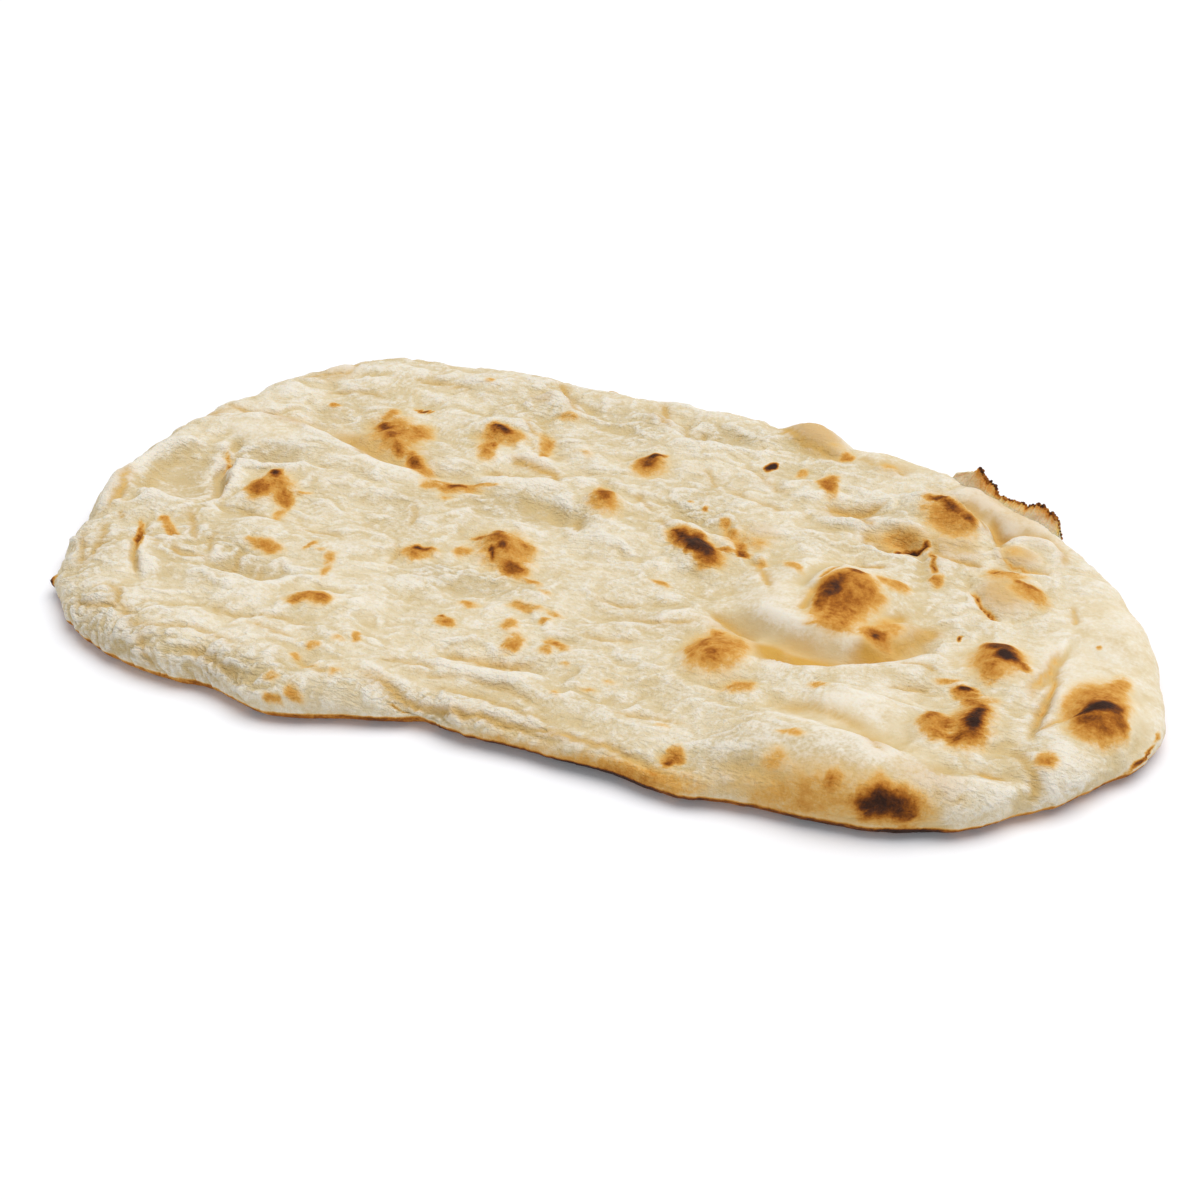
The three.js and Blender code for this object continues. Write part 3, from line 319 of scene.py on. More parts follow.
# Scorch marks: x, y, half length, half width, turn in degrees, how dark (0.2 gold, 0.4 orange,
# 0.7 brown, 1 black), and how softly the edge runs out (0.3 crisp, 0.7 soft).
SCORCHES = [
    (-114.5, 4, 2.5, 3.2, 0, 0.85, 0.4), (-115, -5, 4.2, 5.2, 10, 0.62, 0.45),
    (-112, -1, 6.5, 7, 10, 0.42, 0.6), (-107, -5, 2.6, 5, 10, 0.52, 0.5),
    (-103, 0, 3, 1.2, 20, 0.35, 0.6), (-105, -13, 2, 4, 15, 0.38, 0.6),
    (-137.5, -41, 1.3, 8, 27, 0.8, 0.5), (-131.5, -33, 6.5, 1.9, -45, 0.44, 0.4),
    (-136, -29, 1.5, 1.5, 0, 0.52, 0.5), (-99.5, -31, 4.4, 2.6, 5, 0.44, 0.5),
    (-104, -31, 3, 1.2, 0, 0.3, 0.6), (-88, -25.5, 1.3, 3, -10, 0.4, 0.5),
    (-80, -30, 2, 3.5, 0, 0.38, 0.6), (-78, -37, 1.6, 4.5, 15, 0.38, 0.6),
    (-84, -27, 3, 1.5, 0, 0.24, 0.6), (-74.5, -55, 6.2, 3.6, 22, 0.46, 0.6),
    (-71, -54, 2.6, 1.8, 10, 0.64, 0.5), (-77, -57, 2.6, 2.4, 0, 0.5, 0.5),
    (-97, 48, 3.6, 3, -20, 0.8, 0.5), (-92, 42, 3.2, 4.5, 35, 0.7, 0.5),
    (-87, 36, 4.5, 2.6, -50, 0.6, 0.5), (-92, 45, 12, 8, -50, 0.44, 0.6),
    (-85, 48, 4.5, 6.5, 0, 0.46, 0.6), (-98, 56, 2.4, 3.4, 0, 0.42, 0.5),
    (-79, 32, 5, 2.4, -45, 0.64, 0.5), (-75, 27.5, 7, 3.5, -35, 0.44, 0.6),
    (-90, 64, 2.6, 1, 0, 0.85, 0.4), (-119.5, 56.5, 2.2, 1.4, 0, 0.5, 0.5),
    (-60, 57.5, 5.5, 2.6, -8, 0.72, 0.45), (-61, 58.5, 3.6, 1.2, -8, 0.95, 0.5),
    (-59, 55.5, 7.5, 4.5, 0, 0.46, 0.6), (-61, 46.5, 3.6, 6, 15, 0.46, 0.6),
    (-60, 49.5, 1.8, 1.6, 0, 0.6, 0.6), (-44, 75, 3.6, 2.2, 10, 0.36, 0.6),
    (-45, 58, 3, 6, 15, 0.4, 0.7), (-43.5, 51, 1.2, 3, 0, 0.5, 0.6), (-31, 56, 4.5, 2, -20, 0.26, 0.7),
    (-9.5, 56.5, 4.6, 3.2, 70, 0.72, 0.4), (-8.5, 59.5, 3, 1.4, 25, 0.92, 0.5),
    (-9, 54.5, 6, 6, 0, 0.4, 0.6), (-15, 30, 7.5, 3.2, -62, 0.56, 0.4),
    (-17, 33, 3, 2.2, -60, 0.62, 0.5), (-14.5, 28, 8, 5, -50, 0.4, 0.6),
    (-61.5, 22, 3.8, 1.8, 10, 0.72, 0.5), (-62, 21.5, 9.5, 4, 8, 0.42, 0.7),
    (-53, 25, 5, 0.9, 5, 0.4, 0.6), (-68, 19, 4, 2, 30, 0.38, 0.6), (-61, 15.5, 3.5, 1.8, 0, 0.28, 0.7),
    (-58.6, -14, 1.8, 1.3, 0, 1.0, 0.4), (-57, -14.5, 3.6, 2, 15, 0.7, 0.5),
    (-57.5, -16, 5.5, 4, 10, 0.42, 0.6), (-58.5, -18, 2.6, 3.4, 10, 0.46, 0.6),
    (-36.5, -4, 5, 4, -50, 0.62, 0.5), (-33.5, -6.5, 2.4, 2, 0, 0.84, 0.5),
    (-36, -10, 3.2, 1.4, -50, 0.8, 0.5), (-26.5, -14.5, 2.6, 1.6, -10, 0.68, 0.5),
    (-41.5, -2.5, 4.5, 1.6, -10, 0.6, 0.5), (-38.5, 1.5, 2, 3, 30, 0.5, 0.6),
    (-29, -3, 4.5, 2.6, -25, 0.48, 0.6), (-28, -14.5, 6.5, 3.6, -45, 0.6, 0.5),
    (-33, -7, 13, 8, -45, 0.42, 0.6), (-20, -19.5, 4.5, 1.4, -20, 0.38, 0.7),
    (-45.5, -10.5, 3.4, 3.8, 0, 0.38, 0.6), (-14, -24, 3, 1.6, -20, 0.26, 0.7),
    (-33, -37, 3.6, 2, 10, 0.36, 0.6), (-34.5, -49, 3.6, 2.4, -25, 0.46, 0.5),
    (-36.8, -46.8, 0.9, 0.9, 0, 0.8, 0.5), (-17, -32.5, 6, 2, -8, 0.36, 0.6),
    (-8, -33.5, 4.5, 1.6, -12, 0.32, 0.7), (-8.5, -37.8, 2.4, 1.5, 0, 0.42, 0.6),
    (-17, -43, 2.8, 3.6, 10, 0.4, 0.6), (-13, -51.5, 3.3, 4.8, 10, 0.46, 0.5),
    (-1, -48, 4.6, 2, -22, 0.48, 0.5), (-3, -52, 2.4, 2.6, 10, 0.4, 0.6),
    (16, -7, 3.6, 1.6, -20, 0.4, 0.6), (15, -66, 3.5, 1.4, 0, 0.28, 0.7),
    (19, -60, 3, 1.4, 0, 0.24, 0.7), (7, -71, 1.6, 3, 20, 0.3, 0.6), (5, -57, 2, 1.4, 0, 0.28, 0.7),
    (-54, -67, 1.8, 2.2, 0, 0.42, 0.5), (-64, -75, 2.4, 2, 0, 0.32, 0.6),
    (-58, -71, 2.2, 1.6, 0, 0.24, 0.7), (-66, -81, 2.2, 1.6, 0, 0.34, 0.6),
    (-60, -85, 3, 1.4, 0, 0.3, 0.6), (-52, -85, 3, 2.2, 0, 0.26, 0.7), (-68, -91, 2.4, 2, 0, 0.3, 0.7),
    (-60, -94, 3, 2, 0, 0.4, 0.6), (-66, -97, 2.6, 1.8, 0, 0.44, 0.6),
    (20, 12.8, 10.8, 4.4, -38, 0.92, 0.3), (22, 12, 11, 6, -40, 0.32, 0.6),
    (29, 13.5, 3, 1.4, 10, 0.5, 0.5), (26, 5, 3, 2.5, 0, 0.42, 0.6), (29, 8, 2.5, 3, 0, 0.34, 0.6),
    (12.5, 19, 2.4, 0.9, -20, 0.9, 0.5), (33, 17, 5.5, 1.6, -60, 0.5, 0.5),
    (34.5, 13.5, 2.6, 1.7, -35, 0.74, 0.45), (24, 30, 2, 3, 10, 0.42, 0.6),
    (28, 24.5, 2.4, 4, 35, 0.38, 0.7), (31, 21, 5, 7, 30, 0.26, 0.7), (37, 20, 5, 5, 0, 0.28, 0.8),
    (42, 10, 2.5, 1.6, -30, 0.36, 0.6), (52, 8.5, 5, 1.8, -35, 0.38, 0.6),
    (27, 68.7, 1.5, 2.6, -15, 1.3, 0.35), (37.5, 67.5, 1.6, 3, -10, 0.42, 0.5),
    (48, 62, 3.4, 6.2, 15, 0.56, 0.4), (16, 36, 0.9, 1.2, 0, 0.55, 0.5), (11, 38, 1, 1.2, 0, 0.34, 0.6),
    (83.5, 57.5, 4, 1.4, -5, 0.82, 0.5), (88, 54, 5.5, 2.4, -42, 0.72, 0.5),
    (94, 49.5, 4.5, 1.8, -38, 0.76, 0.45), (88.5, 49.5, 11, 6.5, -42, 0.46, 0.6),
    (80.5, 34.6, 3.2, 1.5, 0, 1.2, 0.45), (85, 36, 1.2, 1.8, 0, 1.0, 0.5),
    (92, 18, 2.2, 3, 10, 0.5, 0.5), (77, 38.5, 7.5, 3, 0, 0.36, 0.7),
    (67, -4.5, 4.6, 8.2, -8, 0.84, 0.45), (71, 5, 3.6, 2.6, 0, 0.8, 0.45),
    (71, -7, 8.4, 12, 0, 0.56, 0.5), (76, -2, 5.5, 6.5, 0, 0.5, 0.5), (71, -16, 6, 4, 0, 0.5, 0.5),
    (65.5, -10.5, 3, 4.5, 0, 0.64, 0.5), (70, -19.3, 6.5, 1.2, 3, 0.46, 0.5),
    (82, 8, 5.4, 2.8, 10, 0.42, 0.4), (83, -17.8, 1.3, 1.5, 0, 0.98, 0.5),
    (83.3, -17, 4, 3.6, 0, 0.66, 0.6), (86, -11.5, 4.5, 4.5, 20, 0.34, 0.6),
    (43, -39, 9.4, 11.2, 0, 0.45, 0.35), (39.5, -37, 2, 7, -5, 0.56, 0.6),
    (44, -44, 5, 3.4, 20, 0.6, 0.6), (36.5, -43, 1.5, 5, 25, 0.52, 0.5), (40, -28.5, 3, 2, 0, 0.5, 0.5),
    (54, -53.5, 4.6, 4, -10, 0.42, 0.5), (75, -48.5, 3, 1.8, 15, 0.4, 0.5),
    (117.5, -13.5, 4.6, 3.4, 0, 0.86, 0.4), (120, -18, 4, 3.4, -15, 1.08, 0.45),
    (118, -18, 8, 8, 10, 0.45, 0.6), (117.5, -24.5, 3.4, 4.4, 0, 0.5, 0.5),
    (125.5, -19.5, 3, 1.7, -20, 0.54, 0.5), (113.5, -13, 2.5, 4, 0, 0.5, 0.6),
    (105, -7.5, 0.8, 1.3, 0, 0.85, 0.4), (143, 1, 0.8, 1.2, 0, 0.5, 0.5),
    (107, -31, 3.4, 1.8, 15, 0.4, 0.5), (112.5, -33, 2.6, 1.2, 15, 0.88, 0.45),
    (113, -34.5, 4, 2.4, -20, 0.5, 0.6), (118.8, -50, 2.6, 10, 2, 0.94, 0.35),
    (119, -53, 2, 4, 0, 1.15, 0.5), (118, -51, 5.6, 12.5, 0, 0.5, 0.5),
    (116, -59.5, 3, 2.6, 0, 0.72, 0.5), (115.5, -39, 2, 3.6, 35, 0.6, 0.5),
    (120, -37, 3, 3, 0, 0.3, 0.7), (109, -55, 4.6, 6, 0, 0.44, 0.4), (107, -53, 1.5, 5.5, 0, 0.58, 0.5),
    (112, -53.5, 1.3, 5, 5, 0.6, 0.5), (110, -59.5, 3.6, 2, 0, 0.52, 0.5),
    (147, -31, 8, 13, -5, 0.48, 0.4), (151.5, -20, 3, 8, 0, 0.42, 0.4),
    (149, -34.6, 4.6, 3.6, 22, 1.1, 0.5), (145.5, -38, 3.5, 1.2, 10, 0.92, 0.4),
    (148.5, -41, 6, 4.8, 0, 0.66, 0.5), (153, -36, 2.2, 6, 0, 0.7, 0.5), (148, -45, 5, 3, 0, 0.42, 0.6),
    (138, -59.5, 2.4, 3.4, 0, 0.44, 0.5), (103.5, -88.6, 8.5, 3.2, 5, 0.92, 0.4),
    (99, -89.5, 4, 2, -15, 0.9, 0.4), (110, -88, 3.4, 2.6, 0, 0.74, 0.45),
    (105.5, -88, 11.5, 4.6, 5, 0.5, 0.5), (88.5, -87, 2, 2.2, 0, 0.5, 0.5),
    (46, -85.5, 3, 2.6, 0, 0.5, 0.4), (45, -87, 1.5, 1.2, 0, 0.66, 0.5),
    (75.5, -77, 4.5, 1.4, -5, 0.36, 0.6), (40, -75.5, 2.6, 1.6, 0, 0.26, 0.7),
    (109.5, 29.6, 4.6, 1.7, 3, 0.6, 0.45), (111, 27, 6, 3.6, 10, 0.42, 0.6),
    (118.5, 21.6, 6, 1.9, -27, 0.56, 0.45), (119, 19, 7, 4.4, -20, 0.44, 0.6),
    (110, 40.5, 5, 3, -10, 0.26, 0.8), (-158, -61, 1.6, 1.2, -20, 1.05, 0.5),
    (-168, -7, 2, 4, 0, 0.5, 0.6), (163.5, -40, 1, 6.5, -10, 0.84, 0.4),
    (165, -31, 1, 2.4, 0, 0.45, 0.5), (-76, 85, 1.6, 1.8, 0, 0.32, 0.6),
    (-38, 103, 4, 1.2, 0, 0.42, 0.6), (63, 79, 3.6, 2, -20, 0.3, 0.7), (-131, 94, 2, 1.2, 0, 0.7, 0.5),
    # These rows darken the rim's front and its foot: partly toasting, partly painted shade on faces
    # turned from the lamp and where the rim meets the table.
    (118, -93, 12, 2.2, 14, 0.62, 0.5), (84, -91, 20, 6, 0, 0.34, 0.8), (73, -85, 4.5, 3, 0, 0.3, 0.9),
    (30, -94, 26, 5, 0, 0.48, 0.7), (0, -92, 22, 5, 0, 0.3, 0.8), (96, -98, 10, 1.8, 0, 0.45, 0.6),
    (43, 83.5, 6, 1.6, 5, 0.2, 0.7), (48, 81.5, 1.8, 1.8, 0, 0.52, 0.5),
]
SCORCH_RAGGED = 1.1      # how far a scorch's edge strays from its ellipse
SCORCH_TIGHT = 0.9       # above 1 the marks shrink inside their ellipses
SCORCH_EDGE = (0.6, 0.95)  # how steep every edge is, and how much more a crisp one is
SCORCH_SHARED = 0.6      # how far each mark counts where several overlap
SCORCH_DEEPER = 0.13     # how much darker they then are

# Golden patches, partly thin puffed skin and partly painted shade in troughs and on the rim's shaded
# front: x, y, half length, half width, turn, strength.
GOLDEN = [
    (69, -32, 13, 5.4, 4, 1), (85, -20.5, 10, 4.8, 46, 1), (57, -32, 8, 6.6, -35, 1),
    (95, -8, 6, 3.4, 40, 0.8), (63, -27, 8, 5, 0, 0.5), (44, -26, 10, 5, -25, 0.5),
    (92, -9, 7, 4, 20, 0.6), (36, 87, 15, 5.5, -31, 0.75), (58, 49, 9, 5, 0, 0.5),
    (-125, 40, 18, 5, -8, 0.6), (-100, 37, 14, 6, -25, 0.7), (-84, 34, 10, 7, -20, 0.5),
    (84, 63, 5, 8, 30, 0.4), (93, 60, 4, 8, 20, 0.5), (77, 37, 10, 5.5, 0, 0.9),
    (92, 37, 10, 6, -10, 0.5), (46, 97, 10, 4, 0, 0.6), (-157, 37, 10, 6, 30, 0.4),
    (112, 39.5, 7, 5, -12, 0.7), (113, 18, 9, 10, -15, 0.75), (104, 60, 20, 6, -38, 0.3),
    (96, -70, 4, 8, 30, 0.4), (64, 78, 7, 5, -20, 0.4), (36, 24, 7, 9, 0, 0.35),
    (-128, 76, 9, 5, 25, 0.3), (88, -89, 34, 6, 0, 0.5), (112, -80, 10, 8, 20, 0.35),
    (-56, 82, 5, 3, 0, 0.3),
]

# Beige patches, partly skin bare of flour and partly painted shade in hollows and on the rim's front: x,
# y, half length, half width, turn, strength.
BARE = [
    (-141, -2, 13, 16, 0, 0.95), (-122, 14, 13, 8, 0, 0.75), (-99, -43, 16, 8, 0, 0.65),
    (-36, 19, 20, 7, 5, 0.7), (-18, 15, 5, 6, 0, 0.4), (-40, -26, 14, 6, 0, 0.5),
    (8, 82, 13, 8, 0, 0.55), (-30, 86, 14, 6, 0, 0.4), (78, -83, 25, 11, 0, 0.9),
    (-118, -87, 18, 7, 0, 0.6), (-92, -90, 14, 5, 0, 0.6), (74, 47, 14, 6, 0, 0.45),
    (-112, -17, 10, 6, 0, 0.35), (-146, -50, 6, 14, 20, 0.35), (20, -27, 14, 5, 0, 0.35),
    (-70, -92, 20, 5, 0, 0.5), (30, -90, 26, 5, 0, 0.85), (12, 52, 8, 6, 0, 0.3),
]

# ------------------------------------------------------------------ the burst blister

# Where the wall stands and how high its torn edge is, from left to right: x, y, height.
WALL_FOOT = [
    (78, 75, 8), (86, 68, 8), (92, 61, 8), (98, 55, 8), (105, 52, 8), (112, 51, 8), (119, 46, 8),
]
WALL_EDGE = [
    (84, 80, 13.5), (87, 78.2, 15.2), (90, 76.4, 17), (92, 75.1, 19.2), (94, 74, 16.6),
    (97.5, 71.8, 15.8), (99.5, 70.5, 13.4), (104, 67.8, 14.2), (109, 64.8, 15), (113, 62.4, 17.2),
    (116.5, 60.3, 17), (119.5, 58.6, 15.2), (121.2, 57.5, 10.5),
]
WALL_THICK = 2.6         # of the torn wall at its foot
TORN_THICK = 0.7         # of the torn wall at its edge
WALL_SAG = 1.6           # how far the wall's face hollows between foot and edge
TEAR_LONG = 0.9          # how far the torn edge's large teeth rise and fall
TEAR_FINE = 0.6          # and its small ones
CRUMB_COUNT = 44         # burnt crumbs along the torn edge
CRUMB_SMALLEST = 0.25    # radius of the smallest of them
CRUMB_LARGEST = 0.75     # and of the largest
CRUMB_ROUGH = 0.7        # how uneven they are
ANY_TURN = (6.3, 6.3, 6.3)      # radians, all the way round each axis
NOISE_MIDDLE = (0.5, 0.5, 0.5)  # taken off the noise that makes them uneven
SCORCH_DEEP = 7.5        # how far down the wall's left half is scorched
SCORCH_SHALLOW = 4.2     # how far down its right half is
SCORCH_TURNS = (12, 26)  # places along the edge between which the one goes over into the other
SCORCH_STARTS = 5.0      # it fades in over this length before the tear
SCORCH_DRIP = 0.2        # how unevenly it runs down the wall
DRIP_SIZE = 3.0          # how wide those runs are
WALL_LENGTH = 52.0       # along its edge
WALL_HEIGHT = 14.0       # up its face
WALL_LUMPS = 0.5         # how far its face bulges and dips
LUMP_SIZE = 5.0          # how far apart those lumps lie
TEAR_SIZES = (2.2, 0.8)  # distance between the large teeth of the edge, and between the small
TEAR_STARTS = 2.0        # the teeth grow from here along the edge to its first peak
WALL_TAUT = 0.4          # how smooth its skin is
WALL_GOLD = (0.3, 0.2)   # how golden it is at its edge, and how much more lower down, the extra partly painted shade towards the foot
GOLD_GROWS = (5, 12)     # how far below the edge that grows

# How baked the wall is, from its edge (0) to as far down as it is scorched (1).
WALL_BAKE = [(0, 0.7), (0.05, 0.46), (0.15, 0.34), (0.5, 0.24), (1.1, 0)]

# ------------------------------------------------------------------ how finely it is cut

LONG_CELLS = 340         # cells of the top's grid along X
CROSS_CELLS = 208        # cells of the top's grid along Y
UNDER_RINGS = 7          # rows of faces from the waist down to the table
CURVE_STEPS = 6          # straight bits between two points of a fold
WALL_STEPS = 180         # cells of the torn wall along its edge
WALL_ROWS = 22           # cells of the torn wall from foot to edge

# What counts as a dip: cells that the relief is smoothed over, and the depth that is a full dip.
DIPS = [(9, 2.2), (3, 0.9)]

# ------------------------------------------------------------------ colours, as a screen shows them

CREAM = (230, 216, 186)
CREAM_SHADE = (216, 197, 157)
CREAM_PATCH = (213, 191, 146)
# tan painted shade in the skin's fine crease lines
CREASE_SHADE_TAN = (198, 174, 124)
# beige: skin bare of flour, and painted shade in hollows and on the rim's front
BARE_AND_SHADE_BEIGE = (201, 180, 137)
# yellow in the dips: partly less flour, partly painted shade
DIP_SHADE_YELLOW = (208, 182, 128)
FLOUR_WHITE = (240, 234, 221)
# gold of thin puffed skin, also used as painted shade in troughs and creases
GOLD_PUFF_AND_SHADE = (206, 160, 75)
CRUMB_BROWN = (150, 92, 44)

# The scorch marks' colours, from pale (0) to black (1).
SCORCH_SCALE = [
    (0.0, (238, 216, 170)), (0.15, (232, 196, 128)), (0.3, (218, 166, 86)), (0.45, (200, 137, 54)),
    (0.6, (166, 99, 26)), (0.75, (120, 64, 10)), (0.88, (80, 38, 4)), (1.0, (48, 20, 2)),
]

# ------------------------------------------------------------------ the skin's finest patterns

SKIN_MARKS = ("Dip", "Gold", "Bare", "Taut", "Rumpled")  # what its mesh tells it
SKIN_BEND = (0.004, 0.004, 0.004)  # how far they are bent out of line, in metres
SKIN_DRAWN = (0.4, 1.2, 1.2)       # below 1 its lines are drawn out, above 1 they are crowded
LINE_SHADE_ROUGH = 0.2        # how strongly painted shade darkens the fine crease lines on rough skin
LINE_SHADE_RUMPLED = 0.4      # and how much more where it is rumpled
FLOUR_LEVEL = 0.25       # flour everywhere,
FLOUR_GRAIN = 0.6        # growing with the grain,
FLOUR_PATCH = -0.5       # shrinking with the patches
FLOUR_DIP_AND_LIGHT = -0.45        # and shrinking in the dips, growing on the rises, so it also paints shade into dips and light onto crests

# Heights in the relief that is too fine for the mesh, as shares of the bump.
SPECK_HIGH = 0.15
GRAIN_HIGH = 0.45
PUCKER_HIGH = 0.6
CRINKLE_HIGH = 0.25
RUMPLED_HIGHER = 0.8     # how much higher puckers and crinkles are where the skin is rumpled
TAUT_LEFT = 0.25         # what is left of all of it where the skin is taut
BUMP_STRENGTH = 0.6
BUMP_DEPTH = 0.0008      # in metres

# ------------------------------------------------------------------ how the oven's colour breaks up

FLECK_FINE = 0.5         # strength of the fine flecks beside the broad ones
FLECK_MIDDLE = 0.75      # their mean together
FLECK_DOUGH = 0.6        # how speckled a scorch mark is
FLECK_CRUMB = 0.4        # and a burnt crumb
BAKE_SHARE = 0.95        # of the mesh's own bake in the colour
DOUGH_ROUGH = 0.86       # how matt pale dough is
CHAR_ROUGH = 0.6         # and black dough
GLOW_DOUGH = 0.15        # light that goes into the crust
GLOW_WALL = 0.7          # and into the thin torn wall
GLOW_COLOURS = (1.0, 0.7, 0.45)
GLOW_DEPTH = 0.002       # in metres

# ------------------------------------------------------------------ the photograph's camera

CAMERA_AZIMUTH = 20.0    # degrees round from the front
CAMERA_ELEVATION = 33.0  # degrees above the table
CAMERA_ANGLE = 28.0      # the width of its view, in degrees
CAMERA_DISTANCE = 713.6  # from its target, in millimetres
CAMERA_TARGET = (-2.77, -11.03, 0.0)
SENSOR = 36.0            # its width, in millimetres

# ------------------------------------------------------------------ its light

LAMP_STRENGTH = 2.12
LAMP_WIDTH = 60.0        # degrees of the sky that the lamp fills
LAMP_FROM = (0.22, 0.18, 1.0)
SKY_STRENGTH = 0.45
SKY_WHITE = (1.0, 1.0, 1.0, 1.0)
FLOOR_REACH = 6.0        # metres from the middle to each edge
FLOOR_WHITE = (0.89, 0.9, 0.93, 1.0)
FLOOR_GLOW = (0.92, 0.95, 1.0, 1.0)
FLOOR_GLOW_STRENGTH = 0.08


# ------------------------------------------------------------------ small tools

def smoothstep(value, low, high):
    """Rises smoothly from 0 at low to 1 at high."""
    f = np.clip((value - low) / (high - low), 0, 1)
    return f * f * (3 - 2 * f)


def gradient_noise(x, y, seed):
    """Smooth noise, about -1 to 1, with lumps about one unit across."""
    rng = np.random.default_rng(seed)
    shuffle = rng.permutation(256)
    turn = rng.uniform(0, 2 * np.pi, 256)
    column = np.floor(x).astype(int)
    row = np.floor(y).astype(int)
    fx = x - column
    fy = y - row

    def corner(i, j):
        angle = turn[shuffle[(shuffle[(column + i) & 255] + row + j) & 255]]
        return np.cos(angle) * (fx - i) + np.sin(angle) * (fy - j)

    u = fx ** 3 * (fx * (fx * 6 - 15) + 10)
    v = fy ** 3 * (fy * (fy * 6 - 15) + 10)
    low = corner(0, 0) * (1 - u) + corner(1, 0) * u
    high = corner(0, 1) * (1 - u) + corner(1, 1) * u
    return 1.5 * (low * (1 - v) + high * v)


def fractal(x, y, size, octaves, seed):
    """Noise of several sizes, each half as large and half as strong as the last."""
    total = 0
    for k in range(octaves):  # each size is read from another place
        scale = 2 ** k / size
        total = total + gradient_noise(x * scale + 7 * k, y * scale + 3 * k, seed + k) / 2 ** k
    return total


def strayed(q, far, size, seed):
    """Places moved up to so far by noise of a given size, the same way each time."""
    x = q[..., 0]
    y = q[..., 1]
    push = [fractal(x, y, size, octaves=3, seed=start) for start in (seed, seed + 4)]
    return q + far * np.stack(push, -1)


def through(points, steps):
    """A smooth path through points, as an array with that many straight bits between each two."""
    p = np.asarray(points, float)
    p = np.vstack([2 * p[0] - p[1], p, 2 * p[-1] - p[-2]])
    path = []
    for k in range(1, len(p) - 2):
        for f in np.arange(steps) / steps:
            path.append(0.5 * (
                2 * p[k]
                + (p[k + 1] - p[k - 1]) * f
                + (2 * p[k - 1] - 5 * p[k] + 4 * p[k + 1] - p[k + 2]) * f ** 2
                + (3 * p[k] - p[k - 1] - 3 * p[k + 1] + p[k + 2]) * f ** 3
            ))
    path.append(p[-2])
    return np.array(path)


def evenly(points, count):
    """That many points at equal distances along the smooth path through some points."""
    path = through(points, steps=40)
    run = np.concatenate([[0], np.cumsum(np.linalg.norm(np.diff(path, axis=0), axis=1))])
    at = np.linspace(0, run[-1], count)
    return np.stack([np.interp(at, run, path[:, k]) for k in range(path.shape[1])], -1)


def elliptic(q, cx, cy, half_length, half_width, turn):
    """Distance from an ellipse's middle, 1 on the ellipse itself."""
    a = math.radians(turn)
    dx = q[..., 0] - cx
    dy = q[..., 1] - cy
    u = (dx * math.cos(a) + dy * math.sin(a)) / half_length
    v = (dy * math.cos(a) - dx * math.sin(a)) / half_width
    return np.hypot(u, v)


def blurred(grid, cells):
    """A grid of values smoothed over that many cells each way."""
    weights = np.exp(-np.linspace(-2, 2, 2 * cells + 1) ** 2)
    weights /= weights.sum()
    for axis in (0, 1):
        padding = [(0, 0), (0, 0)]
        padding[axis] = (cells, cells)
        wide = np.pad(grid, padding, mode="edge")
        size = grid.shape[axis]
        grid = sum(w * np.take(wide, np.arange(k, k + size), axis) for k, w in enumerate(weights))
    return grid


# ------------------------------------------------------------------ the form of the dough

def outline_at(angle):
    """Points of the rim's outermost line, on a smooth closed curve through the outline's points."""
    knots = np.array(OUTLINE, float) / (LENGTH / 2, WIDTH / 2)
    turns = np.arctan2(knots[:, 1], knots[:, 0])
    order = np.argsort(turns)
    a = turns[order]
    r = np.hypot(knots[:, 0], knots[:, 1])[order]
    count = len(a)
    a = np.concatenate([a[-2:] - 2 * np.pi, a, a[:2] + 2 * np.pi])
    r = np.concatenate([r[-2:], r, r[:2]])
    slope = np.zeros(len(r))
    slope[1:-1] = (r[2:] - r[:-2]) / (a[2:] - a[:-2])
    at = np.mod(angle - a[2], 2 * np.pi) + a[2]
    k = np.clip(np.searchsorted(a, at, side="right") - 1, 2, count + 1)
    span = a[k + 1] - a[k]
    f = (at - a[k]) / span
    g = 1 - f
    reach = (
        r[k] * (1 + 2 * f) * g * g + slope[k] * span * f * g * g
        + r[k + 1] * f * f * (3 - 2 * f) - slope[k + 1] * span * f * f * g
    )
    return np.stack([reach * np.cos(angle) * LENGTH / 2, reach * np.sin(angle) * WIDTH / 2], -1)


def thickness(q):
    """Thickness of the dough, a smooth mean of the named values round each place."""
    total = 0
    weights = 0
    for x, y, height in THICKNESS:
        weight = (THICKNESS_SPREAD ** 2 + (q[..., 0] - x) ** 2 + (q[..., 1] - y) ** 2) ** -2.0
        total = total + weight * height
        weights = weights + weight
    return total / weights


def nearest(path, q):
    """Nearest place on a path: signed distance, positive on the left, and how far along, 0 to 1."""
    best = np.full(q.shape[0], np.inf)
    side = np.ones(q.shape[0])
    along = np.zeros(q.shape[0])
    lengths = np.hypot(*(path[1:] - path[:-1]).T)
    starts = np.concatenate([[0], np.cumsum(lengths)])
    for i, length in enumerate(lengths):
        d = (path[i + 1] - path[i]) / length
        p = q - path[i]
        run = np.clip(p @ d, 0, length)
        distance = np.hypot(p[:, 0] - run * d[0], p[:, 1] - run * d[1])
        closer = distance < best
        best = np.where(closer, distance, best)
        side = np.where(closer, np.where(d[0] * p[:, 1] - d[1] * p[:, 0] < 0, -1, 1), side)
        along = np.where(closer, (starts[i] + run) / starts[-1], along)
    return side * best, along


def beside(points, q, reach):
    """Which places lie within reach of a path, how far off it they are, and how full it is there."""
    path = through(points, CURVE_STEPS)
    near = np.all((q > path.min(0) - reach) & (q < path.max(0) + reach), axis=-1)
    offset, along = nearest(path, q[near])
    return near, offset, smoothstep(np.minimum(along, 1 - along), TAPER_FROM, TAPER_TO)


def add_fold(lift, q, crest, groove, right, left, points):
    """Adds one fold to the relief: a crest with a groove on its left, tapered at both ends."""
    near, offset, full = beside(points, q, FOLD_REACH * max(right, left))
    width = np.where(offset > 0, left, right)
    bed = (offset - GROOVE_OFF * left) / left
    rise = crest * np.exp(-np.abs(offset / width) ** CREST_ROUND)
    lift[near] += full * (rise - groove * np.exp(-bed ** 2))


